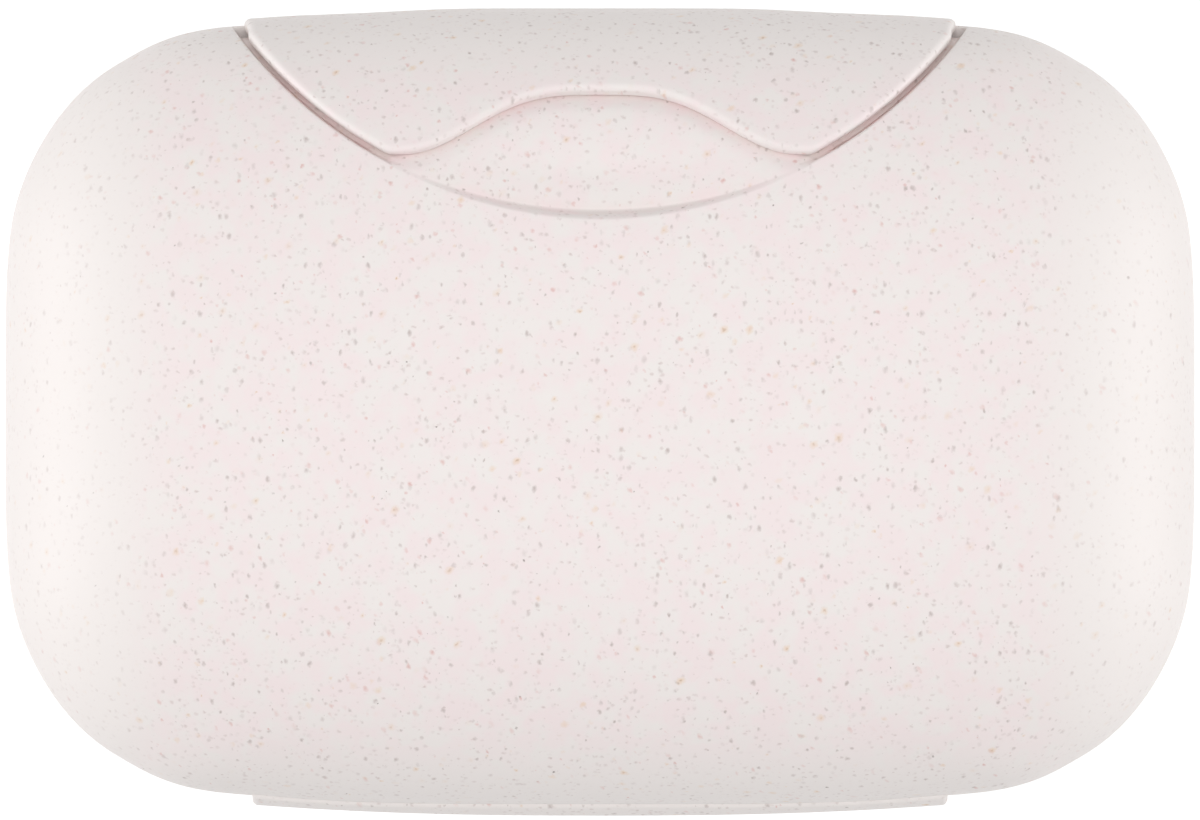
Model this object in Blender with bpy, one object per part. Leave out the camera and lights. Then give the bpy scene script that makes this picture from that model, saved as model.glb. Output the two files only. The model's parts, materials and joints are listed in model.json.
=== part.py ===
"""Travel soap box moulded in flecked plastic.

Two pillow-shaped half shells meet at a seam. The lid turns on a skirt at the rear, a broad latch flap
wraps from the front of the base up into a recess in the lid, a soft ring seals the seam and a loose
rack keeps the soap out of the water.

+Z is up and the rest face is at zero. The latch faces -Y, the hinge +Y, and X runs along the box.
"""

import math

import bmesh
import bpy
from mathutils import Matrix, Vector

MM = 0.001

# Shell outline and profile
SHELL_LENGTH = 115.0 * MM
SHELL_WIDTH = 76.4 * MM
BASE_HEIGHT = 21.0 * MM
LID_HEIGHT = 21.0 * MM
REST_FLAT = 0.6 * MM
WALL = 2.4 * MM
FLOOR = 2.2 * MM
RIM_POWER_SHARE = 4.2
CROWN_POWER_SHARE = 2.4
PROFILE_POWER_SHARE = 2.5
TURNS = 64
CLIMB_STEPS = 8
CROWN_CLIMB = math.radians(84)

# Clearances
SEAM_GAP = 0.3 * MM
FIT = 0.35 * MM
OVERRUN = 1.0 * MM

# Seam: a tongue on the base enters a channel in the lid
TONGUE_OUTER = 2.2 * MM
TONGUE_THICK = 0.8 * MM
TONGUE_HEIGHT = 1.3 * MM
RIM_BAND = 2.6 * MM
RIM_TAPER = 1.0 * MM
CHANNEL_DEPTH = 3.2 * MM
CHANNEL_FIT = 0.3 * MM
LIP_THICK = 0.9 * MM
LIP_HEIGHT = 4.2 * MM

# Recess in the lid for the latch, bounded by an arc in plan
RECESS_RADIUS = 43.4 * MM
RECESS_APEX = 19.05 * MM
RECESS_RIM_DEPTH = 1.0 * MM
RECESS_APEX_DEPTH = 0.5 * MM
RECESS_MID_GAIN = 0.7 * MM
RECESS_SIDE_GAIN = 0.75 * MM
RECESS_MID_RUN = 8.0 * MM
RECESS_SIDE_RUN = 20.0 * MM
RECESS_RIM_RUN = 5.0 * MM
RECESS_BACKING = 1.3 * MM

# Latch flap
FLAP_PROUD = 0.65 * MM
FLAP_THICK = 1.3 * MM
FLAP_EDGE_GAP = 0.8 * MM
FLAP_DROP = 4.1 * MM
ARCH_REACH = 31.07 * MM
ARCH_RISE = 7.0 * MM
ARCH_SPAN = 21.0 * MM
ARCH_POWER_SHARE = 2.7
ARCH_STEPS = 16
TIP_ROUND = 0.9 * MM
LATCH_AXIS_DROP = 6.0 * MM
LATCH_AXIS_INSET = 1.85 * MM
TROUGH_INSET = 2.95 * MM
TROUGH_RISE = 2.8 * MM
TROUGH_FALL = 3.9 * MM

# Rear skirt of the lid
SKIRT_WIDTH = 67.1 * MM
SKIRT_PROUD = 1.03 * MM
SKIRT_THICK = 1.48 * MM
SKIRT_RISE = 3.0 * MM
SKIRT_DROP = 6.1 * MM
SKIRT_ROUND = 0.9 * MM
SKIRT_STEPS = 18
LID_AXIS_DROP = 8.0 * MM
LID_AXIS_INSET = 1.0 * MM

# Hinge knuckles, alike on the latch and on the skirt
PIN_RADIUS = 0.6 * MM
BORE_FIT = 0.3 * MM
KNUCKLE_WALL = 0.65 * MM
LUG_WIDTH = 3.0 * MM
BARREL_WIDTH = 9.9 * MM
INNER_LUG_START = 12.0 * MM
BORE_END_WALL = 0.6 * MM
RIDGE_WALL = 1.4 * MM
NECK_THICK = 1.0 * MM
KNUCKLE_STEPS = 16

# Drain rack
RACK_HEIGHT = 8.0 * MM
RACK_THICK = 1.8 * MM
RACK_FIT = 0.6 * MM
SLOT_COUNT = 9
SLOT_PITCH = 7.6 * MM
SLOT_WIDTH = 3.2 * MM
SLOT_LENGTH = 34.0 * MM
FOOT_RADIUS = 2.2 * MM
FOOT_X = 26.6 * MM
FOOT_Y = 21.5 * MM
SEAT_RADIUS = 3.2 * MM
SEAT_TOP = 5.6 * MM

# Sizes worked out from the ones above
HALF_LENGTH = SHELL_LENGTH / 2
HALF_WIDTH = SHELL_WIDTH / 2
SEAM_Z = BASE_HEIGHT
BASE_RISE = BASE_HEIGHT + REST_FLAT
BASE_RIM_Z = SEAM_Z - SEAM_GAP / 2
LID_RIM_Z = SEAM_Z + SEAM_GAP / 2
TONGUE_INNER = TONGUE_OUTER + TONGUE_THICK
CHANNEL_OUTER = TONGUE_OUTER - CHANNEL_FIT
CHANNEL_INNER = TONGUE_INNER + CHANNEL_FIT
LIP_INNER = CHANNEL_INNER + LIP_THICK
LIP_BOTTOM = SEAM_Z + TONGUE_HEIGHT + CHANNEL_FIT
RECESS_CENTRE_Y = -(RECESS_APEX + RECESS_RADIUS)
BORE_RADIUS = PIN_RADIUS + BORE_FIT
KNUCKLE_RADIUS = BORE_RADIUS + KNUCKLE_WALL
POCKET_RADIUS = KNUCKLE_RADIUS + FIT
BARREL_START = INNER_LUG_START + LUG_WIDTH + BORE_FIT
BARREL_END = BARREL_START + BARREL_WIDTH
OUTER_LUG_START = BARREL_END + BORE_FIT
OUTER_LUG_END = OUTER_LUG_START + LUG_WIDTH
LATCH_AXIS = Vector((0, -(HALF_WIDTH - LATCH_AXIS_INSET), SEAM_Z - LATCH_AXIS_DROP))
LID_AXIS = Vector((0, HALF_WIDTH - LID_AXIS_INSET, SEAM_Z - LID_AXIS_DROP))
FLAP_RADIUS = RECESS_RADIUS - FLAP_EDGE_GAP
SHELL_Y = (FLAP_PROUD - SKIRT_PROUD) / 2


def start_scene():
    """Empty the scene and make the empty that centres the box over the origin."""
    for old in list(bpy.data.objects):
        bpy.data.objects.remove(old, do_unlink=True)
    centre = bpy.data.objects.new("box_centre", None)
    centre.location = (0, SHELL_Y, 0)
    bpy.context.scene.collection.objects.link(centre)
    return centre


def plastic(name, colour, roughness, metallic=0.0):
    """A Principled material of one colour."""
    material = bpy.data.materials.new(name)
    material.use_nodes = True
    shader = material.node_tree.nodes["Principled BSDF"]
    shader.inputs["Base Color"].default_value = (*colour, 1)
    shader.inputs["Roughness"].default_value = roughness
    shader.inputs["Metallic"].default_value = metallic
    return material


def add_object(name, bm, parent):
    """Turn a bmesh into an object under the centring empty."""
    bmesh.ops.recalc_face_normals(bm, faces=bm.faces)
    mesh = bpy.data.meshes.new(name)
    bm.to_mesh(mesh)
    bm.free()
    thing = bpy.data.objects.new(name, mesh)
    bpy.context.scene.collection.objects.link(thing)
    thing.parent = parent
    return thing


def add_cutter(name, bm, parent):
    """An object that only serves another one's Boolean."""
    cutter = add_object(name, bm, parent)
    cutter.hide_render = True
    cutter.display_type = "WIRE"
    return cutter


def combine(target, operation, other):
    """Put a live Boolean on target."""
    boolean = target.modifiers.new(f"{operation.lower()}_{other.name}", "BOOLEAN")
    boolean.operation = operation
    boolean.solver = "EXACT"
    boolean.object = other


def set_axis(thing, axis):
    """Move an object's origin onto its joint's axis without moving its shape."""
    thing.data.transform(Matrix.Translation(-axis))
    thing.location = axis


def outline(half_length, half_width, power, turn):
    """A point of a superellipse, by its direction in the unit square."""
    across, along = math.cos(turn), math.sin(turn)
    reach = (abs(across) ** power + abs(along) ** power) ** (-1 / power)
    return half_length * across * reach, half_width * along * reach


def profile(climb, side):
    """How far the shell has drawn in, and risen from the seam, at an angle from seam to crown."""
    rise = LID_HEIGHT if side > 0 else BASE_RISE
    inset = HALF_WIDTH * (1 - max(math.cos(climb), 0) ** (2 / PROFILE_POWER_SHARE))
    return inset, rise * math.sin(climb) ** (2 / PROFILE_POWER_SHARE)


def shell_point(turn, climb, side):
    """A point of the outer surface of the lid (side +1) or the base (side -1)."""
    inset, rise = profile(climb, side)
    power = RIM_POWER_SHARE + (CROWN_POWER_SHARE - RIM_POWER_SHARE) * inset / HALF_WIDTH
    x, y = outline(HALF_LENGTH - inset, HALF_WIDTH - inset, power, turn)
    return Vector((x, y, SEAM_Z + side * rise))


def shell_normal(turn, climb, side):
    """The outward normal of the outer surface, from two short steps along it."""
    step = math.radians(0.2)
    round_step = shell_point(turn + step, climb, side) - shell_point(turn - step, climb, side)
    up_step = shell_point(turn, climb + step, side) - shell_point(turn, max(climb - step, 0), side)
    return (round_step.cross(up_step) * side).normalized()


def turns():
    """The directions of the points of one ring."""
    return [math.tau * index / TURNS for index in range(TURNS)]


def shell_ring(climb, side, depth):
    """One ring of a surface that lies depth below the outer one. Depth is a length or a rule."""
    ring = []
    for turn in turns():
        point = shell_point(turn, climb, side)
        here = depth(point, profile(climb, side)[0]) if callable(depth) else depth
        ring.append(point - shell_normal(turn, climb, side) * here)
    return ring


def level_ring(inset, z):
    """One ring at the seam's outline, drawn in by inset."""
    flat = [outline(HALF_LENGTH - inset, HALF_WIDTH - inset, RIM_POWER_SHARE, turn) for turn in turns()]
    return [Vector((x, y, z)) for x, y in flat]


def climbs(last=CROWN_CLIMB, steps=CLIMB_STEPS):
    """Angles from just above the seam to the last ring."""
    return [last * (index + 1) / steps for index in range(steps)]


def stack(rings):
    """A closed solid from rings of equal count, made by extruding one cap from ring to ring."""
    bm = bmesh.new()
    slot = bm.verts.layers.int.new("slot")
    circle = bmesh.ops.create_circle(bm, cap_ends=True, segments=len(rings[0]), radius=SHELL_WIDTH)
    for index, vert in enumerate(circle["verts"]):
        vert[slot] = index
        vert.co = rings[0][index]
    bottom = cap = bm.faces[:][0]
    for ring in rings[1:]:
        grown = bmesh.ops.extrude_face_region(bm, geom=[cap])["geom"]
        if cap is not bottom:
            bmesh.ops.delete(bm, geom=[cap], context="FACES_ONLY")
        for item in grown:
            if isinstance(item, bmesh.types.BMVert):
                item.co = ring[item[slot]]
        cap = next(item for item in grown if isinstance(item, bmesh.types.BMFace))
    return bm


def prism(points, z_low, z_high):
    """A closed prism over a flat outline."""
    bm = bmesh.new()
    floor = bm.faces.new([bm.verts.new((x, y, z_low)) for x, y in points])
    grown = bmesh.ops.extrude_face_region(bm, geom=[floor])["geom"]
    for item in grown:
        if isinstance(item, bmesh.types.BMVert):
            item.co.z = z_high
    return bm


def bar(profile_points, x_low, x_high):
    """A closed bar along X over an outline given as (y, z) points."""
    bm = bmesh.new()
    end = bm.faces.new([bm.verts.new((x_low, y, z)) for y, z in profile_points])
    grown = bmesh.ops.extrude_face_region(bm, geom=[end])["geom"]
    for item in grown:
        if isinstance(item, bmesh.types.BMVert):
            item.co.x = x_high
    return bm


def join(parts):
    """One bmesh from several."""
    whole = bmesh.new()
    for part in parts:
        mesh = bpy.data.meshes.new("joined")
        part.to_mesh(mesh)
        part.free()
        whole.from_mesh(mesh)
        bpy.data.meshes.remove(mesh)
    return whole


def block(low, high):
    """A box between two corners."""
    return prism([(low[0], low[1]), (high[0], low[1]), (high[0], high[1]), (low[0], high[1])], low[2], high[2])


def rod(axis, radius, x_low, x_high):
    """A round bar along X about a joint's axis."""
    angles = [math.tau * index / KNUCKLE_STEPS for index in range(KNUCKLE_STEPS)]
    points = [(axis.y + radius * math.cos(a), axis.z + radius * math.sin(a)) for a in angles]
    return bar(points, x_low, x_high)


def lug(axis, inward, x_low, x_high):
    """A D-shaped ear of the base, round about the axis and running inward into the wall."""
    half = KNUCKLE_STEPS // 2
    angles = [math.pi * index / half - math.pi / 2 for index in range(half + 1)]
    points = [(axis.y - inward * KNUCKLE_RADIUS * math.cos(a), axis.z + KNUCKLE_RADIUS * math.sin(a))
              for a in angles]
    root = axis.y + inward * (POCKET_RADIUS + RIDGE_WALL / 2)
    points += [(root, axis.z + KNUCKLE_RADIUS), (root, axis.z - KNUCKLE_RADIUS)]
    return bar(points, x_low, x_high)


def both_sides(make, start, end):
    """The same bar on the left and on the right of the box."""
    return join([make(-end, -start), make(start, end)])


def disc(x, y, radius, z_low, z_high):
    """An upright round post."""
    angles = [math.tau * index / KNUCKLE_STEPS for index in range(KNUCKLE_STEPS)]
    return prism([(x + radius * math.cos(a), y + radius * math.sin(a)) for a in angles], z_low, z_high)


def recess_depth(point, inset):
    """Depth of the latch recess: shallow at its apex, deeper towards the sides and its middle."""
    mid_share = min(max((-point.y - RECESS_APEX) / RECESS_MID_RUN, 0), 1)
    side_share = min(abs(point.x) / RECESS_SIDE_RUN, 1)
    rim_share = min(inset / RECESS_RIM_RUN, 1)
    full = RECESS_APEX_DEPTH + RECESS_MID_GAIN * mid_share + RECESS_SIDE_GAIN * side_share ** 2
    return RECESS_RIM_DEPTH + (full - RECESS_RIM_DEPTH) * rim_share


def lid_wall(point, inset):
    """Wall thickness of the lid: the wall steps inward behind the deep parts of the recess."""
    reach = math.hypot(point.x, point.y - RECESS_CENTRE_Y) - RECESS_RADIUS
    near_share = min(max(1 - reach / WALL, 0), 1)
    extra = max(recess_depth(point, inset) + RECESS_BACKING - WALL, 0)
    return WALL + extra * near_share


def lens(z_low, z_high, radius):
    """The upright cylinder whose arc bounds the recess in plan."""
    angles = [math.tau * index / (2 * TURNS) for index in range(2 * TURNS)]
    return prism([(radius * math.cos(a), RECESS_CENTRE_Y + radius * math.sin(a)) for a in angles],
                 z_low, z_high)


def whole_pillow(depth):
    """Both halves' surface in one closed solid, moved in by depth, from below the latch to the crown."""
    lower = [shell_ring(climb, -1, depth) for climb in reversed(climbs(CROWN_CLIMB / 2, CLIMB_STEPS - 4))]
    upper = [shell_ring(climb, 1, depth) for climb in [0] + climbs()]
    return stack(lower + upper)


def base_cavity_rings():
    """Inside of the base, from the floor to the rim band and up through the tongue."""
    rings = []
    for climb in reversed(climbs()):
        ring = shell_ring(climb, -1, WALL)
        highest = max(point.z for point in ring)
        if highest > SEAM_Z - RIM_BAND - RIM_TAPER:
            break
        if highest > FLOOR:
            rings.append([Vector((point.x, point.y, max(point.z, FLOOR))) for point in ring])
    rings.append(level_ring(WALL, SEAM_Z - RIM_BAND - RIM_TAPER))
    rings.append(level_ring(TONGUE_INNER, SEAM_Z - RIM_BAND))
    rings.append(level_ring(TONGUE_INNER, SEAM_Z + TONGUE_HEIGHT + OVERRUN))
    return rings


def wall_ridge(axis, inward, z_low, z_high, face):
    """A block of thicker wall inside the base, behind a hinge."""
    half = OUTER_LUG_END + FIT + RIDGE_WALL
    y_face = inward * -1 * (HALF_WIDTH - face)
    y_back = inward * -1 * (HALF_WIDTH + OVERRUN)
    return block((-half, min(y_face, y_back), z_low), (half, max(y_face, y_back), z_high))


def make_base(centre, material):
    """The lower shell: rest face, tongue, latch recess and trough, hinge lugs and rack seats."""
    rest_climb = math.asin((BASE_HEIGHT / BASE_RISE) ** (PROFILE_POWER_SHARE / 2))
    rings = [shell_ring(climb, -1, 0) for climb in reversed([0] + climbs(rest_climb))]
    rings[-1] = level_ring(0, BASE_RIM_Z)
    rings.append(level_ring(TONGUE_OUTER, BASE_RIM_Z))
    rings.append(level_ring(TONGUE_OUTER, SEAM_Z + TONGUE_HEIGHT))
    base = add_object("base_shell", stack(rings), centre)
    base.data.materials.append(material)

    cavity = add_cutter("cut_base_cavity", stack(base_cavity_rings()), centre)
    front_face = LATCH_AXIS_INSET + POCKET_RADIUS + RIDGE_WALL
    front = wall_ridge(LATCH_AXIS, 1, LATCH_AXIS.z - TROUGH_FALL - RIDGE_WALL,
                       LATCH_AXIS.z + TROUGH_RISE + RIDGE_WALL, front_face)
    rear_face = LID_AXIS_INSET + POCKET_RADIUS + RIDGE_WALL
    rear = wall_ridge(LID_AXIS, -1, LID_AXIS.z - POCKET_RADIUS - RIDGE_WALL,
                      LID_AXIS.z + POCKET_RADIUS + RIDGE_WALL, rear_face)
    combine(cavity, "DIFFERENCE", add_cutter("guide_wall_ridges", join([front, rear]), centre))
    combine(base, "DIFFERENCE", cavity)

    trough_z = (LATCH_AXIS.z - TROUGH_FALL, LATCH_AXIS.z + TROUGH_RISE)
    floor_rings = [shell_ring(climb, -1, RECESS_RIM_DEPTH) for climb in reversed([0] + climbs(CROWN_CLIMB / 2))]
    floor_rings.append(level_ring(RECESS_RIM_DEPTH, SEAM_Z + TONGUE_HEIGHT + FLAP_THICK))
    floor = add_cutter("guide_base_recess_floor", stack(floor_rings), centre)
    trough = block((-HALF_LENGTH, -HALF_WIDTH - OVERRUN, trough_z[0] - OVERRUN),
                   (HALF_LENGTH, -(HALF_WIDTH - TROUGH_INSET), trough_z[1]))
    combine(floor, "DIFFERENCE", add_cutter("guide_trough", trough, centre))
    recess = add_cutter("cut_base_recess", lens(trough_z[0], SEAM_Z + TONGUE_HEIGHT, RECESS_RADIUS), centre)
    combine(recess, "DIFFERENCE", floor)
    combine(base, "DIFFERENCE", recess)

    half_skirt = SKIRT_WIDTH / 2 + FIT
    rear_floor = SKIRT_THICK - SKIRT_PROUD + FIT
    slot = add_cutter("cut_skirt_seat", block((-half_skirt, 0, SEAM_Z - SKIRT_DROP - FIT),
                                              (half_skirt, HALF_WIDTH + OVERRUN, SEAM_Z + OVERRUN)), centre)
    keep = stack([level_ring(rear_floor, SEAM_Z - SKIRT_DROP - SKIRT_RISE),
                  level_ring(rear_floor, SEAM_Z + SKIRT_RISE)])
    combine(slot, "DIFFERENCE", add_cutter("guide_skirt_seat", keep, centre))
    combine(base, "DIFFERENCE", slot)

    pocket_start = BARREL_START - BORE_FIT
    pocket_end = BARREL_END + BORE_FIT
    lug_spans = ((INNER_LUG_START, pocket_start), (pocket_end, OUTER_LUG_END))
    for label, axis, inward in (("latch", LATCH_AXIS, 1), ("lid", LID_AXIS, -1)):
        pockets = both_sides(lambda a, b: rod(axis, POCKET_RADIUS, a, b), pocket_start, pocket_end)
        combine(base, "DIFFERENCE", add_cutter(f"cut_{label}_pockets", pockets, centre))
        lugs = join([both_sides(lambda a, b: lug(axis, inward, a, b), *span) for span in lug_spans])
        combine(base, "UNION", add_cutter(f"add_{label}_lugs", lugs, centre))
        bores = both_sides(lambda a, b: rod(axis, BORE_RADIUS, a, b),
                           INNER_LUG_START + BORE_END_WALL, OUTER_LUG_END + OVERRUN)
        combine(base, "DIFFERENCE", add_cutter(f"cut_{label}_bores", bores, centre))

    seats = join([disc(x, y, SEAT_RADIUS, 0, SEAT_TOP) for x in (-FOOT_X, FOOT_X)
                  for y in (-FOOT_Y, FOOT_Y)])
    seats = add_cutter("add_rack_seats", seats, centre)
    mid_wall = stack([shell_ring(climb, -1, FLOOR / 2) for climb in reversed([0] + climbs(rest_climb))])
    combine(seats, "INTERSECT", add_cutter("guide_mid_wall", mid_wall, centre))
    combine(base, "UNION", seats)
    return base


def make_skirt():
    """The plate at the lid's rear, which follows the outline and carries the barrels."""
    half = SKIRT_WIDTH / 2
    stations = [half * (2 * index / SKIRT_STEPS - 1) for index in range(SKIRT_STEPS + 1)]

    def rear_line(x, proud):
        shape = max(1 - (abs(x) / (HALF_LENGTH + proud)) ** RIM_POWER_SHARE, 0) ** (1 / RIM_POWER_SHARE)
        return (HALF_WIDTH + proud) * shape

    outer = [(x, rear_line(x, SKIRT_PROUD)) for x in stations]
    inner = [(x, rear_line(x, SKIRT_PROUD - SKIRT_THICK)) for x in reversed(stations)]
    bm = prism(outer + inner, SEAM_Z - SKIRT_DROP, SEAM_Z + SKIRT_RISE)
    ends = [edge for edge in bm.edges
            if all(abs(abs(v.co.x) - half) < FIT and v.co.y > rear_line(half, 0) for v in edge.verts)
            and abs(edge.verts[0].co.z - edge.verts[1].co.z) > SKIRT_RISE]
    bmesh.ops.bevel(bm, geom=ends, offset=SKIRT_ROUND, affect="EDGES", segments=3, profile=0.5, material=-1)
    return bm


def knuckle_barrel(axis, outward, neck_inner, neck_top, x_low, x_high):
    """A barrel and the neck that joins it to the plate above."""
    y_inner = axis.y + outward * neck_inner
    y_outer = axis.y + outward * (neck_inner + NECK_THICK)
    neck = bar([(y_inner, axis.z), (y_outer, axis.z), (y_outer, neck_top), (y_inner, neck_top)],
               x_low, x_high)
    return rod(axis, KNUCKLE_RADIUS, x_low, x_high), neck


def add_barrels(target, label, centre, axis, outward, neck_inner, neck_top):
    """Barrels, necks and bores of a moving plate, on both sides."""
    for piece in range(2):
        shape = both_sides(lambda a, b: knuckle_barrel(axis, outward, neck_inner, neck_top, a, b)[piece],
                           BARREL_START, BARREL_END)
        kind = ("barrels", "necks")[piece]
        combine(target, "UNION", add_cutter(f"add_{label}_{kind}", shape, centre))
    bores = both_sides(lambda a, b: rod(axis, BORE_RADIUS, a, b),
                       BARREL_START - OVERRUN, BARREL_END + OVERRUN)
    combine(target, "DIFFERENCE", add_cutter(f"cut_{label}_barrel_bores", bores, centre))


def make_lid(centre, material):
    """The upper shell: rim channel, latch recess and rear skirt with its barrels."""
    rings = [level_ring(0, LID_RIM_Z)] + [shell_ring(climb, 1, 0) for climb in climbs()]
    lid = add_object("lid_shell", stack(rings), centre)
    lid.data.materials.append(material)

    section = ((CHANNEL_OUTER, SEAM_Z - OVERRUN), (CHANNEL_OUTER, SEAM_Z + CHANNEL_DEPTH),
               (CHANNEL_INNER, SEAM_Z + CHANNEL_DEPTH), (CHANNEL_INNER, LIP_BOTTOM),
               (LIP_INNER, LIP_BOTTOM), (LIP_INNER, SEAM_Z + LIP_HEIGHT))
    cavity_rings = [level_ring(inset, z) for inset, z in section]
    for climb in climbs():
        ring = shell_ring(climb, 1, lid_wall)
        if min(point.z for point in ring) > SEAM_Z + LIP_HEIGHT + RIM_TAPER:
            cavity_rings.append(ring)
    combine(lid, "DIFFERENCE", add_cutter("cut_lid_cavity", stack(cavity_rings), centre))

    floor_rings = [level_ring(RECESS_RIM_DEPTH, SEAM_Z - OVERRUN * 2)]
    floor_rings += [shell_ring(climb, 1, recess_depth) for climb in climbs()]
    recess = add_cutter("cut_lid_recess", lens(SEAM_Z - OVERRUN, SEAM_Z + LID_HEIGHT + OVERRUN,
                                               RECESS_RADIUS), centre)
    combine(recess, "DIFFERENCE", add_cutter("guide_lid_recess_floor", stack(floor_rings), centre))
    combine(lid, "DIFFERENCE", recess)

    combine(lid, "UNION", add_cutter("add_skirt", make_skirt(), centre))
    neck_inner = LID_AXIS_INSET - (SKIRT_THICK - SKIRT_PROUD)
    add_barrels(lid, "skirt", centre, LID_AXIS, 1, neck_inner, SEAM_Z - SKIRT_DROP + BORE_FIT * 2)
    set_axis(lid, LID_AXIS)
    return lid


def flap_plan():
    """Outline of the flap from above: an arched edge, two tips and the sides' arc."""
    arch = []
    for index in range(ARCH_STEPS + 1):
        x = ARCH_SPAN * (2 * index / ARCH_STEPS - 1)
        lift = math.sin(math.pi * abs(x) / (2 * ARCH_SPAN)) ** ARCH_POWER_SHARE
        y = -ARCH_REACH + ARCH_RISE * lift
        if math.hypot(x, y - RECESS_CENTRE_Y) < FLAP_RADIUS:
            arch.append((x, y))
    tip_x, tip_y = arch[-1]
    tip_angle = math.acos((tip_x + TIP_ROUND) / FLAP_RADIUS)
    end_angle = math.asin((-HALF_WIDTH - FLAP_PROUD - OVERRUN - RECESS_CENTRE_Y) / FLAP_RADIUS)
    steps = ARCH_STEPS // 2
    side = [tip_angle + (end_angle - tip_angle) * index / steps for index in range(steps + 1)]
    right = [(FLAP_RADIUS * math.cos(a), RECESS_CENTRE_Y + FLAP_RADIUS * math.sin(a)) for a in side]
    left = [(-x, y) for x, y in reversed(right)]
    return arch + right + left


def make_flap(centre, material):
    """The latch: a curved plate cut from the shell's own form, with two barrels below."""
    plan = prism(flap_plan(), SEAM_Z - FLAP_DROP, SEAM_Z + LID_HEIGHT)
    flap = add_object("latch_flap", plan, centre)
    flap.data.materials.append(material)
    combine(flap, "INTERSECT", add_cutter("guide_flap_outside", whole_pillow(-FLAP_PROUD), centre))
    combine(flap, "DIFFERENCE", add_cutter("cut_flap_inside", whole_pillow(FLAP_THICK - FLAP_PROUD), centre))
    neck_inner = KNUCKLE_RADIUS - NECK_THICK
    add_barrels(flap, "flap", centre, LATCH_AXIS, -1, neck_inner, SEAM_Z - FLAP_DROP + BORE_FIT * 2)
    set_axis(flap, LATCH_AXIS)
    return flap


def make_pins(centre, material):
    """Four short steel pins, each pressed into two lugs through one barrel."""
    start = INNER_LUG_START + BORE_END_WALL + BORE_FIT
    end = OUTER_LUG_END - BORE_FIT
    for label, axis in (("latch_hinge_pin", LATCH_AXIS), ("lid_hinge_pin", LID_AXIS)):
        for hand, span in (("left", (start, end)), ("right", (-end, -start))):
            pin = add_object(f"{label}_{hand}", rod(axis, PIN_RADIUS, *span), centre)
            pin.data.materials.append(material)
            set_axis(pin, axis)


def make_seal(centre, material):
    """The soft ring at the bottom of the lid's channel."""
    low = SEAM_Z + TONGUE_HEIGHT + CHANNEL_FIT
    high = SEAM_Z + CHANNEL_DEPTH - CHANNEL_FIT
    seal = add_object("seal_ring", stack([level_ring(TONGUE_OUTER, low), level_ring(TONGUE_OUTER, high)]), centre)
    seal.data.materials.append(material)
    core = stack([level_ring(TONGUE_INNER, low - OVERRUN), level_ring(TONGUE_INNER, high + OVERRUN)])
    combine(seal, "DIFFERENCE", add_cutter("cut_seal_core", core, centre))


def make_rack(centre, material):
    """The loose rack: a slotted plate that follows the inner wall, on four feet."""
    plate = block((-HALF_LENGTH, -HALF_WIDTH, RACK_HEIGHT), (HALF_LENGTH, HALF_WIDTH, RACK_HEIGHT + RACK_THICK))
    rack = add_object("drain_rack", plate, centre)
    rack.data.materials.append(material)
    rings = [shell_ring(climb, -1, WALL + RACK_FIT) for climb in reversed([0] + climbs())]
    combine(rack, "INTERSECT", add_cutter("guide_rack_outline", stack(rings), centre))
    half_count = (SLOT_COUNT - 1) / 2
    slots = []
    for index in range(SLOT_COUNT):
        x = (index - half_count) * SLOT_PITCH
        slots.append(block((x - SLOT_WIDTH / 2, -SLOT_LENGTH / 2, RACK_HEIGHT - OVERRUN),
                           (x + SLOT_WIDTH / 2, SLOT_LENGTH / 2, RACK_HEIGHT + RACK_THICK + OVERRUN)))
    combine(rack, "DIFFERENCE", add_cutter("cut_rack_slots", join(slots), centre))
    feet = join([disc(x, y, FOOT_RADIUS, SEAT_TOP + SEAM_GAP, RACK_HEIGHT + RACK_THICK / 2)
                 for x in (-FOOT_X, FOOT_X) for y in (-FOOT_Y, FOOT_Y)])
    combine(rack, "UNION", add_cutter("add_rack_feet", feet, centre))


centre = start_scene()
straw_plastic = plastic("straw_plastic", (0.80, 0.73, 0.69), 0.5)
steel = plastic("pin_steel", (0.62, 0.62, 0.62), 0.3, metallic=1.0)
silicone = plastic("seal_silicone", (0.75, 0.74, 0.72), 0.7)
rack_plastic = plastic("rack_plastic", (0.80, 0.76, 0.72), 0.5)
make_base(centre, straw_plastic)
make_lid(centre, straw_plastic)
make_flap(centre, straw_plastic)
make_pins(centre, steel)
make_seal(centre, silicone)
make_rack(centre, rack_plastic)
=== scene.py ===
"""Looks of a hinged travel soap box in pale flecked plastic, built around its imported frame."""
import json
import math

import bmesh
import bpy
import numpy as np
from mathutils import Matrix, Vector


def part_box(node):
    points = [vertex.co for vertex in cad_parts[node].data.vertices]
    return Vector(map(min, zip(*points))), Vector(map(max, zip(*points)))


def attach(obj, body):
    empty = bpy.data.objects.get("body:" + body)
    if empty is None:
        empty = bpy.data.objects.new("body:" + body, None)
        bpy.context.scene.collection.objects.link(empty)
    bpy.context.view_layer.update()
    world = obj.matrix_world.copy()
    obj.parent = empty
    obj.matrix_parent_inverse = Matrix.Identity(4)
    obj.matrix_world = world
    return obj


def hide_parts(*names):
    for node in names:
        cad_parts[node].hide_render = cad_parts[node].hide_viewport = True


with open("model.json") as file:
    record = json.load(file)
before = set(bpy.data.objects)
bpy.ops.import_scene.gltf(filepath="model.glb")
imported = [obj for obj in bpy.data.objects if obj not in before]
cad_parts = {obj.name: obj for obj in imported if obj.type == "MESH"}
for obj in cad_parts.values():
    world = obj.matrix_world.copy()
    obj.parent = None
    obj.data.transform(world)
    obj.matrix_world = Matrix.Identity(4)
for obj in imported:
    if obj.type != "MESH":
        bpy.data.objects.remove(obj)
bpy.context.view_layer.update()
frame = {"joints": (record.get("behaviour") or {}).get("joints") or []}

MM = 0.001


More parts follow.
